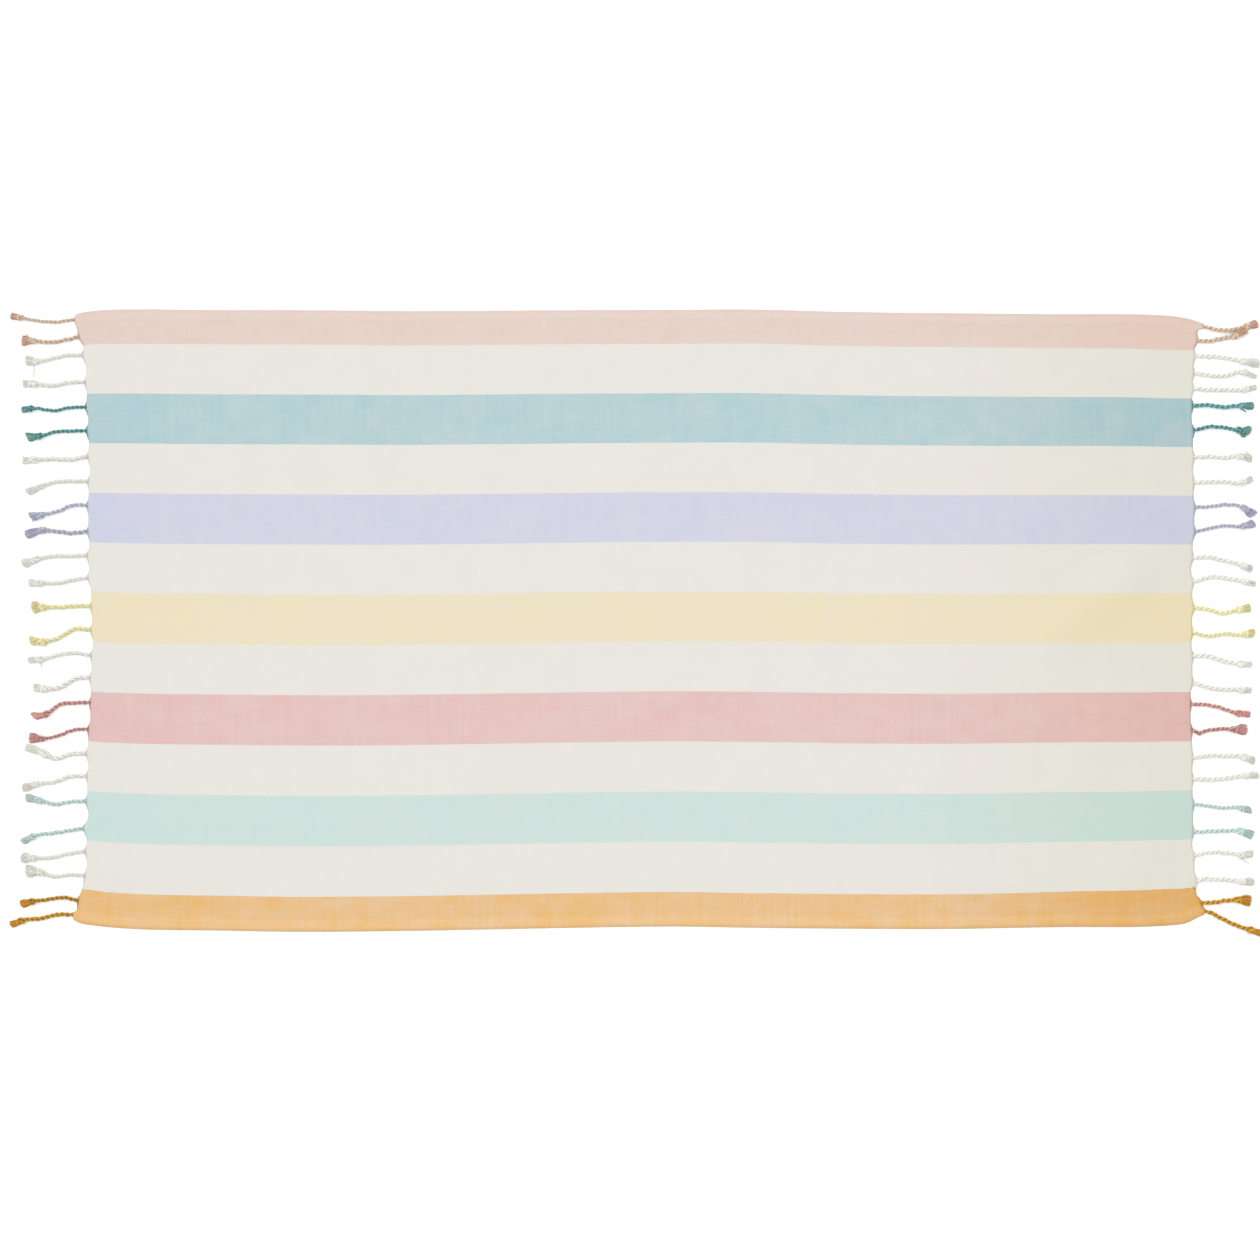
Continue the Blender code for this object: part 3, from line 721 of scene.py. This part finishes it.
def newPiece(name, groups, materials, uvName):
    # one mesh from groups of points, four-cornered and three-cornered faces, their uvs, tones and finishes
    def joined(key, like):
        # what each group says, once for each of its points or faces
        return np.concatenate([np.broadcast_to(group.get(key, 0), len(group[like])) for group in groups])

    points = np.concatenate([group["points"] for group in groups]) + shift
    starts = np.cumsum([0] + [len(group["points"]) for group in groups])
    quads = np.concatenate([group["quads"] + start for group, start in zip(groups, starts)])
    tris = np.concatenate([group["tris"] + start for group, start in zip(groups, starts)])
    uvs = np.concatenate([*[group["quadUvs"].reshape(-1, 2) for group in groups], np.zeros((tris.size, 2))])
    finishes = np.concatenate([joined("quadFinish", "quads"), joined("triFinish", "tris")])
    mesh = bpy.data.meshes.new(name)
    mesh.vertices.add(len(points))
    mesh.vertices.foreach_set("co", points.astype(np.float32).ravel())
    mesh.loops.add(quads.size + tris.size)
    mesh.loops.foreach_set("vertex_index", np.concatenate([quads.ravel(), tris.ravel()]).astype(np.int32))
    mesh.polygons.add(len(quads) + len(tris))
    loopStarts = np.concatenate([np.arange(len(quads)) * 4, quads.size + np.arange(len(tris)) * 3])
    mesh.polygons.foreach_set("loop_start", loopStarts.astype(np.int32))
    mesh.update(calc_edges=True)
    mesh.polygons.foreach_set("use_smooth", np.ones(len(mesh.polygons), bool))
    mesh.polygons.foreach_set("material_index", finishes.astype(np.int32))
    layer = mesh.uv_layers.new(name=uvName)
    layer.data.foreach_set("uv", uvs.astype(np.float32).ravel())
    # the tone, and the painted shade between plies, that the yarn materials read
    for key in ("tone", "deep"):
        values = joined(key, "points").astype(np.float32)
        mesh.attributes.new(key, "FLOAT", "POINT").data.foreach_set("value", values)
    for material in materials:
        mesh.materials.append(material)
    piece = bpy.data.objects.new(name, mesh)
    bpy.context.scene.collection.objects.link(piece)
    print(f"{name}: {len(quads) * 2 + len(tris)} triangles")
    return piece


def unit(vectors):
    return vectors / np.maximum(np.linalg.norm(vectors, axis=-1, keepdims=True), 1e-12)


def carriedFrames(paths):
    # the direction of each path at its stations, and two across it that turn no more than they must
    along = unit(np.gradient(paths, axis=1))
    side = np.cross(along[:, 0], (0.0, 0.0, 1.0))
    sides = np.empty_like(paths)
    for k in range(paths.shape[1]):
        side = unit(side - along[:, k] * np.sum(side * along[:, k], axis=1, keepdims=True))
        sides[:, k] = side
    return along, sides, np.cross(sides, along)


def lengthsAlong(paths):
    steps = np.linalg.norm(np.diff(paths, axis=1), axis=2)
    return np.concatenate([np.zeros((len(paths), 1)), np.cumsum(steps, axis=1)], axis=1)


def resampled(path, count):
    # the same path with its stations spaced evenly
    lengths = lengthsAlong(path[None])[0]
    even = np.linspace(0, lengths[-1], count)
    return np.stack([np.interp(even, lengths, path[:, axis]) for axis in range(3)], axis=1)


def strands(paths, radii, sides, spin=0.0, lobes=0, lobeDepth=0.0, tone=0.0, finish=0):
    # closed round strands along many paths at once, pressed flat where they touch the floor
    paths = np.asarray(paths, float)
    count, stations, _ = paths.shape
    along, across, up = carriedFrames(paths)
    angles = 2 * math.pi * np.arange(sides) / sides
    radii = np.broadcast_to(radii, (count, stations))[..., None] * (1 + lobeDepth * np.cos(lobes * angles))
    turned = angles + np.asarray(spin)[..., None]
    rings = (paths[:, :, None] + across[:, :, None] * (radii * np.cos(turned))[..., None]
             + up[:, :, None] * (radii * np.sin(turned))[..., None])
    caps = np.stack([paths[:, 0] - along[:, 0] * radii[:, 0, :1] * 0.5,
                     paths[:, -1] + along[:, -1] * radii[:, -1, :1] * 0.5], axis=1)
    points = np.concatenate([rings.reshape(-1, 3), caps.reshape(-1, 3)])
    points[:, 2] = np.maximum(points[:, 2], 0.03 * mm)
    index = np.arange(count * stations * sides).reshape(count, stations, sides)
    after = np.roll(index, -1, axis=2)
    quads = np.stack([index[:, :-1], index[:, 1:], after[:, 1:], after[:, :-1]], axis=-1).reshape(-1, 4)
    capIndex = index.size + np.arange(count * 2).reshape(count, 2, 1) + np.zeros(sides, int)
    tris = np.concatenate([
        np.stack([capIndex[:, 0], index[:, 0], after[:, 0]], axis=-1).reshape(-1, 3),
        np.stack([capIndex[:, 1], after[:, -1], index[:, -1]], axis=-1).reshape(-1, 3),
    ])
    u = np.broadcast_to(lengthsAlong(paths)[..., None], index.shape)
    u0, u1 = u[:, :-1], u[:, 1:]
    v0 = np.broadcast_to(np.arange(sides) / sides, u0.shape)
    v1 = v0 + 1 / sides
    tone, finish = np.broadcast_to(tone, count), np.broadcast_to(finish, count)
    return {
        "points": points, "quads": quads, "tris": tris,
        "quadUvs": np.stack([u0, v0, u1, v0, u1, v1, u0, v1], axis=-1),
        "tone": np.concatenate([np.repeat(tone, stations * sides), np.repeat(tone, 2)]),
        "quadFinish": np.repeat(finish, (stations - 1) * sides),
        "triFinish": np.tile(np.repeat(finish, sides), 2),
    }


stitchSizes = {
    "pitch": 3.2 * mm,
    "length": 2.5 * mm,
    "radius": 0.24 * mm,
    "twist": 0.9 * mm,
    "inFromFold": 1.9 * mm,  # from the hem's inner fold
    "proud": 0.1 * mm,
    "reach": 893 * mm,
}

cordSizes = {
    "rootWidth": 5.0 * mm,
    "height": 3.0 * mm,  # of its middle line
    "plyRadius": 1.72 * mm,
    "plyApart": 1.42 * mm,  # from the middle line
    "pitch": 15.0 * mm,
    "lobes": 5,
    "lobeDepth": 0.09,
    "sides": 12,
    "stations": 118,
    "uneven": 0.06,
    "kink": 0.55 * mm,  # how far it wanders aside
    "kinkLengths": (9 * mm, 24 * mm),
    "kinksFrom": (2 * mm, 14 * mm),  # past the root
    "calm": 10 * mm,  # before the knot
    "bendAt": 11 * mm,
    "bendWidth": 5 * mm,
    "wobble": 0.25 * mm,  # up and down
    "wobbleLength": 9 * mm,
    "rises": (-1 * mm, 7 * mm),  # from the root to its full height
    "thickens": 6 * mm,
    "thins": 5 * mm,  # before its end in the knot
}


def crossRows():
    # where the rows of points run across the flat cloth: close together at the hems
    hem = [0, 0.35, 0.9, 1.8, 3.4, 5.6, 7.8, 9.4, 10.4, 11.1, 11.8, 12.4, 12.9, 13.4, 14, 15.2, 17.5]
    farSide = np.concatenate([np.array(hem) * mm, np.linspace(hemClear, borders[0], 8)])
    middle = [np.linspace(a, b, clothSizes["rowsEach"] + 1)[1:] for a, b in zip(borders, borders[1:])]
    return np.concatenate([farSide, *middle, (clothWidth - farSide)[::-1][1:]])


def clothSheet():
    rows = crossRows()
    reach = clothSizes["endZone"]
    straight = np.linspace(-reach, reach, clothSizes["columns"])
    outward = np.linspace(0, 1, clothSizes["endColumns"] + 1)[1:] ** 0.8
    columns = len(straight) + 2 * len(outward)
    x = np.empty((len(rows), columns))
    x[:, len(outward):-len(outward)] = straight
    for name, (side, tassels) in ends.items():
        place = np.full(len(rows), side * 0.9)
        for _ in range(4):
            y = np.array([acrossCloth(v, float(at)) for v, at in zip(rows, place)])
            place = np.array([endLine(name, at) - side * clothSizes["edgeBack"] for at in y])
        spread = side * reach + (place - side * reach)[:, None] * outward
        if side > 0:
            x[:, -len(outward):] = spread
        else:
            x[:, :len(outward)] = spread[:, ::-1]
    y = np.array([[acrossCloth(v, at) for at in places] for v, places in zip(rows, x)])
    v = np.broadcast_to(rows[:, None], x.shape)
    bottom = lift(x, y)
    top = bottom + thickness(v, x)
    edge = np.minimum(v, clothWidth - v)
    bottom = bottom + 0.35 * mm * (1 - smoothStep(edge, 0, 1.2 * mm))  # the fold is round below, too
    sheet = np.concatenate([np.stack([x, y, z], axis=-1).reshape(-1, 3) for z in (top, bottom)])
    grid = np.arange(x.size).reshape(x.shape)
    a, b, c, d = grid[:-1, :-1], grid[1:, :-1], grid[1:, 1:], grid[:-1, 1:]
    topFaces = np.stack([a, b, c, d], axis=-1).reshape(-1, 4)
    lowFaces = topFaces[:, ::-1] + x.size
    rim = np.concatenate([grid[0, :], grid[1:, -1], grid[-1, -2::-1], grid[-2:0:-1, 0]])
    following = np.roll(rim, -1)
    rimFaces = np.stack([rim, following, following + x.size, rim + x.size], axis=-1)
    quads = np.concatenate([topFaces, lowFaces, rimFaces])
    flat = np.stack([x + clothSizes["cut"][1] / 2, v], axis=-1).reshape(-1, 2)
    uvs = np.tile(flat, (2, 1))[quads]
    return {"points": sheet, "quads": quads, "tris": np.empty((0, 3), int), "quadUvs": uvs}


def hemStitches():
    # the visible side of the lockstitch: one short thread after another, each sunk at both its ends
    paths, finish = [], []
    steps = int(2 * stitchSizes["reach"] / stitchSizes["pitch"])
    for far in (True, False):
        for k in range(steps):
            x = -stitchSizes["reach"] + (k + 0.5 + luck.normal(0, 0.06)) * stitchSizes["pitch"]
            xs = x + stitchSizes["length"] * np.array([-0.5, -0.28, 0.28, 0.5])
            v = hemRow - stitchSizes["inFromFold"] + luck.normal(0, 0.12) * mm
            v = v if far else clothWidth - v
            ys = np.array([acrossCloth(v, at) for at in xs])
            proud = stitchSizes["proud"] * np.array([-1.6, 1, 1, -1.6])
            zs = lift(xs, ys) + thickness(np.full(4, v), xs) + proud
            paths.append(np.stack([xs, ys, zs], axis=-1))
            finish.append(0 if far else 1)
    tone = luck.normal(0, 0.3, len(paths))
    return strands(paths, stitchSizes["radius"], 5, tone=tone, finish=np.array(finish))


gatherSizes = {
    "yarns": 26,
    "radius": 0.34 * mm,
    "inside": 1.4 * mm,  # how far back into the weave each yarn is seen
    "meet": 3.6 * mm,  # past the root, where they have become the cord
    "above": {"Left": 8 * mm, "Right": 10 * mm},  # how far along the cloth's end a root draws yarns in from
    "below": {"Left": 15 * mm, "Right": 13 * mm},
    "atCorner": 4 * mm,
    "height": 0.8 * mm,
    "insideHeight": 0.75 * mm,
    "meetHeight": 2.3 * mm,
    "meetHalf": 1.6 * mm,  # half their width there
    "shadeDeeper": 1.1,  # painted shade, in tone, the most where the dye is the darkest
}

weftSizes = {
    "radius": 0.4 * mm,
    "rows": ((0.95 * mm, 0.62 * mm), (0.35 * mm, 0.5 * mm)),  # how far inside the end's line, and how high
    "pastLast": 3 * mm,  # beyond the first and the last tassel's root
    "points": 420,
    "wander": 0.12 * mm,
    "wanderLength": 3.1 * mm,
}

knotSizes = {
    "unit": 3.3 * mm,  # one cord width in the knot
    "height": 4.3 * mm,
    "uneven": 0.08,
    "flatter": 0.92,
    "endsTighter": 0.9,
}

# an overhand knot, in cord widths: along the tassel, aside and up
knotPoints = table(
    "along aside up",
    (-3.2, 0, -0.43),
    (-2.2, 0.1, -0.3),
    (-1.5, 0.25, 0.25),
    (-0.85, 0.42, 0.5),
    (0, -0.42, -0.5),
    (0.85, -0.84, -0.3),
    (1.2, -0.42, 0.1),
    (0.85, 0.42, 0.5),
    (0, 0.84, 0),
    (-0.85, 0.42, -0.5),
    (-1.2, -0.42, -0.1),
    (-0.85, -0.84, 0.3),
    (0, -0.42, 0.5),
    (0.85, 0.42, -0.5),
    (1.5, 0.25, -0.45),
    (2.05, 0.1, -0.35),
)

tuftSizes = {
    "yarns": 42,
    "radius": 0.48 * mm,
    "stations": 8,
    "sides": 4,
    "starts": 1.0 * mm,  # past the knot's middle
    "neck": 3.5 * mm,  # half its width where it leaves the knot
    "flared": (0.68, 0.98),  # of the way to the tip, where it is widest: from one tuft to another
    "rounded": (0.15, 0.38),  # how much shorter its sides are, in half widths
    "lean": 0.25,  # how much those without a row above are cut aslant, either way
    "height": 4.8 * mm,
    "tipHeight": 3.0 * mm,
    "knotHeight": 3.4 * mm,  # of its middle, where it leaves the knot
    "knotDepth": 3.0 * mm,
    "pastTip": 0.6 * mm,
    "crimp": 0.4 * mm,
    "uneven": 1.5 * mm,
    "sidesShade": 0.7,  # painted shade, in tone, at its two sides
}

threadSizes = {
    "radius": 1.05 * mm,
    "startHeight": 1.6 * mm,
    "endHeight": 0.5 * mm,
    "tone": -0.8,
}

# loose threads that show beside the tassels: the dye's name, and the two ends and the bend of each
strayRows = table(
    "dye x1 y1 x2 y2 bend",
    ("natural", -979, 416, -980, 395, 0.6),
    ("peach", -989, 460, -990.5, 464, 0.5),
    ("natural", -990, 261, -998, 268, 1),
    ("lilac", -980, 168, -981, 160, 1),
    ("natural", -968, 152, -958, 148, -2),
    ("natural", -969, -67, -967, -76, 1),
    ("natural", 924, 428, 925, 423, 0.5),
    ("blue", 976, 343, 984, 338, 0.5),
    ("natural", 983, 274, 991, 266, 2),
    ("natural", 975, -384.5, 989.5, -393, 0),
    ("natural", 916, -417, 914, -419, 1),
    ("orange", 898.8, -431.5, 901.5, -436, 0.3),
)


def routeOf(side, tassel):
    # the tassel's middle line on the floor, at a distance past its root along X
    marks = np.arange(5) * tassel.reach * mm / 4
    asides = np.array([0, tassel.aside1, tassel.aside2, tassel.aside3, tassel.asideTip]) * mm
    aside = smoothThrough(marks, asides)

    def at(past):
        past = np.asarray(past, float)
        overrun = np.maximum(past - marks[-1], 0) * (asides[-1] - asides[-2]) / (marks[-1] - marks[-2])
        y = tassel.rootY * mm + aside(past) + overrun
        return np.stack([side * (tassel.rootX * mm + past), y], axis=-1)

    return at


def catmull(points, steps):
    # a smooth curve through the points
    padded = np.concatenate([[2 * points[0] - points[1]], points, [2 * points[-1] - points[-2]]])
    t = np.linspace(0, 1, steps, endpoint=False)[:, None]
    spans = []
    for a, b, c, d in zip(padded, padded[1:], padded[2:], padded[3:]):
        spans.append(0.5 * (2 * b + (c - a) * t + (2 * a - 5 * b + 4 * c - d) * t ** 2
                            + (3 * b - a - 3 * c + d) * t ** 3))
    return np.concatenate([*spans, points[-1:]])


def cordPath(side, tassel, bend):
    # from the root along the floor, and through the knot
    route = routeOf(side, tassel)
    middle = (tassel.reach - tassel.knot) * mm
    size = knotSizes["unit"] * (1 + luck.normal(0, knotSizes["uneven"]))
    mirror = luck.choice([-1, 1])
    turn = luck.uniform(-0.5, 0.5)
    knot = []
    for row in knotPoints:
        place = middle + row.along * size
        ahead = unit(route(place + mm) - route(place - mm))
        across = np.array([-ahead[1], ahead[0]])
        aside = mirror * row.aside * math.cos(turn) - row.up * math.sin(turn)
        up = mirror * row.aside * math.sin(turn) + row.up * math.cos(turn)
        if row is knotPoints[0]:
            aside, up = row.aside, row.up  # the knot doesn't turn where the cord comes in
        squeeze = 1.0 if abs(row.along) < 1.3 else knotSizes["endsTighter"]
        spot = route(place) + across * aside * size * squeeze
        knot.append([*spot, knotSizes["height"] + up * size * knotSizes["flatter"]])
    start = middle + knotPoints[0].along * size
    pasts = np.linspace(-1.0 * mm, start, 30)[:-1]
    kinks = sum(np.sin(2 * math.pi * pasts / luck.uniform(*cordSizes["kinkLengths"]) + luck.random() * 6.3)
                for _ in range(3)) / 2
    free = smoothStep(pasts, *cordSizes["kinksFrom"])
    free = free * (1 - smoothStep(pasts, start - cordSizes["calm"], start))
    bent = np.exp(-((pasts - cordSizes["bendAt"]) / cordSizes["bendWidth"]) ** 2)
    aside = cordSizes["kink"] * kinks * free + bend * mm * bent
    onFloor = route(pasts) + np.array([0, 1]) * aside[:, None]
    wobble = cordSizes["wobble"] * np.sin(pasts / cordSizes["wobbleLength"] + luck.random() * 6)
    heights = cordSizes["height"] + np.maximum(wobble, -0.1 * mm)
    heights = heights * (0.55 + 0.45 * smoothStep(pasts, *cordSizes["rises"]))
    path = np.concatenate([np.column_stack([onFloor, heights]), knot])
    return resampled(catmull(path, 8), cordSizes["stations"])


def fringeCords(name):
    # two plies round each cord's path, twisted the same way at both ends seen from the cloth
    side, tassels = ends[name]
    paths = np.stack([cordPath(side, tassel, bends[name].get(number, 0.0))
                      for number, tassel in enumerate(tassels)])
    lengths = lengthsAlong(paths)
    _, across, up = carriedFrames(paths)
    thick = 1 + luck.normal(0, cordSizes["uneven"], (len(tassels), 1))
    thick = thick * np.array([[dyes[tassel.dye].plump] for tassel in tassels])
    phase = side * 2 * math.pi * lengths / (cordSizes["pitch"] * thick) + luck.random((len(tassels), 1)) * 6.3
    total = lengths[:, -1:]
    taper = 0.55 + 0.45 * smoothStep(lengths, 0, cordSizes["thickens"])
    taper = taper * (1 - 0.35 * smoothStep(lengths, total - cordSizes["thins"], total))
    finish = np.array([dyeNames.index(tassel.dye) for tassel in tassels])
    groups = []
    for ply in (0, 1):
        angle = (phase + math.pi * ply)[..., None]
        offset = (cordSizes["plyApart"] * thick * taper)[..., None]
        centre = paths + (across * np.cos(angle) + up * np.sin(angle)) * offset
        radii = cordSizes["plyRadius"] * thick * taper
        tone = luck.normal(0, 0.22, len(tassels))
        group = strands(centre, radii, cordSizes["sides"], spin=-2.1 * phase, lobes=cordSizes["lobes"],
                        lobeDepth=cordSizes["lobeDepth"], tone=tone, finish=finish)
        # painted shade: how deep each point lies between the two plies, which darkens it there
        rings = group["points"][:-2 * len(tassels)].reshape(*paths.shape[:2], -1, 3)
        out = np.linalg.norm(rings - paths[:, :, None], axis=-1)
        full = (cordSizes["plyApart"] + cordSizes["plyRadius"]) * (thick * taper)[..., None]
        deep = 1 - smoothStep(out / full, 0.42, 0.95)
        group["deep"] = np.concatenate([deep.ravel(), np.zeros(2 * len(tassels))])
        groups.append(group)
    return groups


def fringeTufts(name):
    # each tuft's yarns leave the knot close together and fan out to an uneven end, cut straight or aslant
    side, tassels = ends[name]
    paths, tones, finish = [], [], []
    t = np.linspace(0, 1, tuftSizes["stations"])
    ceiling = tuftSizes["height"] + (tuftSizes["tipHeight"] - tuftSizes["height"]) * t - tuftSizes["radius"]
    for number, tassel in enumerate(tassels):
        route = routeOf(side, tassel)
        climb = laidOver[name].get(number, 0.0) * mm * smoothStep(t, 0.0, 0.4)
        opened = smoothStep(t, -0.15, luck.uniform(*tuftSizes["flared"]))
        rounded = luck.uniform(*tuftSizes["rounded"])
        start = (tassel.reach - tassel.knot) * mm + tuftSizes["starts"]
        half = tassel.tuft * mm / 2 - tuftSizes["radius"]
        neck = min(tuftSizes["neck"], half)
        lean = leans[name].get(number, luck.normal(0, tuftSizes["lean"]))
        for k in range(tuftSizes["yarns"]):
            spread = -1 + 2 * (k + 0.5) / tuftSizes["yarns"] + luck.normal(0, 0.06)
            spread = min(max(spread, -1.04), 1.04)
            layer = luck.random()
            tip = tassel.reach * mm + tuftSizes["pastTip"] - tuftSizes["uneven"] * abs(luck.normal(0, 0.8))
            tip = tip - rounded * half * (spread - lean) ** 2
            pasts = start + (tip - start) * t
            ahead = unit(route(pasts + 1.5 * mm) - route(pasts - 1.5 * mm))
            across = np.stack([-ahead[:, 1], ahead[:, 0]], axis=-1)
            wave = np.sin(t * luck.uniform(7, 12) + luck.random() * 6.3) * smoothStep(t, 0.1, 0.5)
            aside = spread * (neck + (half - neck) * opened) + tuftSizes["crimp"] * wave
            dome = 0.25 + 0.75 * math.sqrt(max(0.0, 1 - spread ** 2))
            height = tuftSizes["radius"] + (0.15 + 0.85 * layer) * ceiling * dome
            atKnot = tuftSizes["knotHeight"] + (layer - 0.5) * tuftSizes["knotDepth"] * dome
            height = atKnot + (height - atKnot) * opened + climb
            paths.append(np.column_stack([route(pasts) + across * aside[:, None], height]))
            # a tone of its own, and painted shade at the tuft's two sides
            tones.append(luck.normal(0, 0.3) - tuftSizes["sidesShade"] * abs(spread) ** 3)
            finish.append(dyeNames.index(tassel.dye))
    radii = tuftSizes["radius"] * (1 + luck.normal(0, 0.12, (len(paths), 1))) * (1 - 0.25 * t ** 3)
    return [strands(paths, radii, tuftSizes["sides"], tone=tones, finish=np.array(finish))]


def gatheredWarp(name):
    # past the last weft the warp turns along the cloth's end and is drawn together into each cord
    side, tassels = ends[name]
    paths, tones, finish = [], [], []
    for k, tassel in enumerate(tassels):
        rootY = tassel.rootY * mm
        top, foot = rootY + gatherSizes["above"][name], rootY - gatherSizes["below"][name]
        if k in (0, len(tassels) - 1):
            top, foot = rootY + gatherSizes["atCorner"], rootY - gatherSizes["atCorner"]
        route = routeOf(side, tassel)
        for yarn in range(gatherSizes["yarns"]):
            # more of them from close by than from far along the end
            place = (yarn + 0.5 + luck.normal(0, 0.15)) / gatherSizes["yarns"] * 2 - 1
            y = rootY + abs(place) ** 1.4 * (top - rootY if place > 0 else foot - rootY)
            edge = endLine(name, y) - side * clothSizes["edgeBack"]
            meet = route(gatherSizes["meet"] * (0.4 + luck.random() * 0.6))
            meet = meet + np.array([0, place * gatherSizes["meetHalf"]])
            high = gatherSizes["height"] * (0.6 + 0.8 * luck.random())
            points = [[edge - side * gatherSizes["inside"], y, gatherSizes["insideHeight"]]]
            # along the cloth's end at first, then off it to the cord
            for t in (0.12, 0.35, 0.62, 0.85, 1.0):
                yHere = y + (meet[1] - y) * smoothStep(t, 0, 1)
                onEdge = endLine(name, yHere) + side * (0.2 + 0.7 * abs(place) * t) * mm
                straight = edge + (meet[0] - edge) * t
                xHere = onEdge + (straight - onEdge) * t ** 4
                points.append([xHere, yHere, high + (gatherSizes["meetHeight"] - high) * t ** 2])
            paths.append(points)
            # a tone of its own, and painted shade that sinks it towards the furrows' shade, the more the
            # darker the dye
            tones.append(luck.normal(0, 0.3) - gatherSizes["shadeDeeper"] * (1 - dyes[tassel.dye].furrow))
            finish.append(dyeNames.index(tassel.dye))
    return [strands(paths, gatherSizes["radius"], 4, tone=tones, finish=np.array(finish))]


def endWefts():
    # the last yarns of weft, just outside the woven edge
    paths = []
    for name, (side, tassels) in ends.items():
        top = tassels[0].rootY * mm + weftSizes["pastLast"]
        foot = tassels[-1].rootY * mm - weftSizes["pastLast"]
        ys = np.linspace(top, foot, weftSizes["points"])
        for back, height in weftSizes["rows"]:
            xs = np.array([endLine(name, y) - side * back for y in ys])
            wander = weftSizes["wander"] * np.sin(ys / weftSizes["wanderLength"] + back / mm * 9)
            paths.append(np.column_stack([xs + wander, ys, np.full(len(ys), height)]))
    return [strands(paths, weftSizes["radius"], 4)]


def looseThreads():
    paths, finish = [], []
    t = np.linspace(0, 1, 9)
    high, low = threadSizes["startHeight"], threadSizes["endHeight"]
    for row in strayRows:
        start, stop = np.array([row.x1, row.y1]) * mm, np.array([row.x2, row.y2]) * mm
        across = unit(np.array([start[1] - stop[1], stop[0] - start[0]]))
        spots = start + (stop - start) * t[:, None] + across * (np.sin(t * math.pi) * row.bend * mm)[:, None]
        paths.append(np.column_stack([spots, high + (low - high) * smoothStep(t, 0, 0.6)]))
        finish.append(dyeNames.index(row.dye))
    return [strands(paths, threadSizes["radius"], 6, tone=threadSizes["tone"], finish=np.array(finish))]


def settle(piece, slotName, *nodes):
    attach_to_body(piece, "root")
    if nodes:
        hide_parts(*nodes)


dyeNames = list(dyes)
cordYarns = [twistedYarn(name + "Cord", dye.cord, dye.furrow) for name, dye in dyes.items()]
tuftYarns = [twistedYarn(name + "Tuft", dye.tuft, dye.furrow) for name, dye in dyes.items()]
threads = [sewingThread("peachThread", (246, 233, 226)), sewingThread("orangeThread", (250, 222, 176))]

cloth = newPiece("stripedCloth", [clothSheet()], [wovenStripes()], "cut")
settle(cloth, "cloth", "cloth")
stitches = newPiece("hemStitches", [hemStitches()], threads, "yarn")
settle(stitches, "cloth")
wefts = newPiece("endWefts", endWefts(), [tuftYarns[0]], "yarn")
settle(wefts, "cloth")
trims = [stitches, wefts]
for name in ends:
    gathers = newPiece("gatheredWarp" + name, gatheredWarp(name), cordYarns, "yarn")
    settle(gathers, "fringe")
    cords = newPiece("fringeCords" + name, fringeCords(name), cordYarns, "yarn")
    settle(cords, "fringe", "fringe_" + name.lower())
    tufts = newPiece("fringeTufts" + name, fringeTufts(name), tuftYarns, "yarn")
    settle(tufts, "fringe")
    trims += [gathers, cords, tufts]
loose = newPiece("looseThreads", looseThreads(), cordYarns, "yarn")
settle(loose, "fringe")
trims.append(loose)

studio = {
    "pixel": 1.62 * mm,  # on the floor, for one pixel of the photograph
    "pixels": 1260,
    "middle": (-13.4 * mm, -10.8 * mm),  # under the middle of the photograph
    "lens": 85,
    "sensor": 36,
    "floor": 30.0,
    "worldStrength": 0.86,
    "keyPower": 24,
    "keySize": 3.0,
    "keyPlace": (-0.15, 0.4, 3.3),
    "windowStrength": 1.15,
    "windowWidth": 75,  # as an angle
    "windowFrom": (-2.2, 2.0, 2.6),
}


def studioFloor():
    half = studio["floor"] / 2
    corners = [(-half, -half, 0), (half, -half, 0), (half, half, 0), (-half, half, 0)]
    mesh = bpy.data.meshes.new("floor")
    mesh.from_pydata(corners, [], [(0, 1, 2, 3)])
    mesh.materials.append(paleFloor())
    floor = bpy.data.objects.new("floor", mesh)
    bpy.context.scene.collection.objects.link(floor)


def studioLight():
    world = bpy.data.worlds.new("paleStudio")
    world.use_nodes = True
    world.node_tree.nodes["Background"].inputs["Color"].default_value = (1.0, 1.0, 0.995, 1.0)
    world.node_tree.nodes["Background"].inputs["Strength"].default_value = studio["worldStrength"]
    bpy.context.scene.world = world
    softBox = bpy.data.lights.new("softBox", "AREA")
    softBox.shape = "DISK"
    softBox.size = studio["keySize"]
    softBox.energy = studio["keyPower"]
    window = bpy.data.lights.new("farWindow", "SUN")
    window.angle = math.radians(studio["windowWidth"])
    window.energy = studio["windowStrength"]
    for data, place in ((softBox, studio["keyPlace"]), (window, studio["windowFrom"])):
        light = bpy.data.objects.new(data.name, data)
        light.location = place
        aim = -light.location
        light.rotation_euler = aim.to_track_quat("-Z", "Y").to_euler()
        bpy.context.scene.collection.objects.link(light)


def studioCamera():
    data = bpy.data.cameras.new("camera")
    data.lens = studio["lens"]
    data.sensor_width = studio["sensor"]
    camera = bpy.data.objects.new("camera", data)
    frameWidth = studio["pixel"] * studio["pixels"]
    camera.location = (*studio["middle"], frameWidth * studio["lens"] / studio["sensor"])
    bpy.context.scene.collection.objects.link(camera)
    bpy.context.scene.camera = camera


studioFloor()
studioLight()
studioCamera()
bpy.context.scene.view_settings.view_transform = "Standard"
print("stage set")
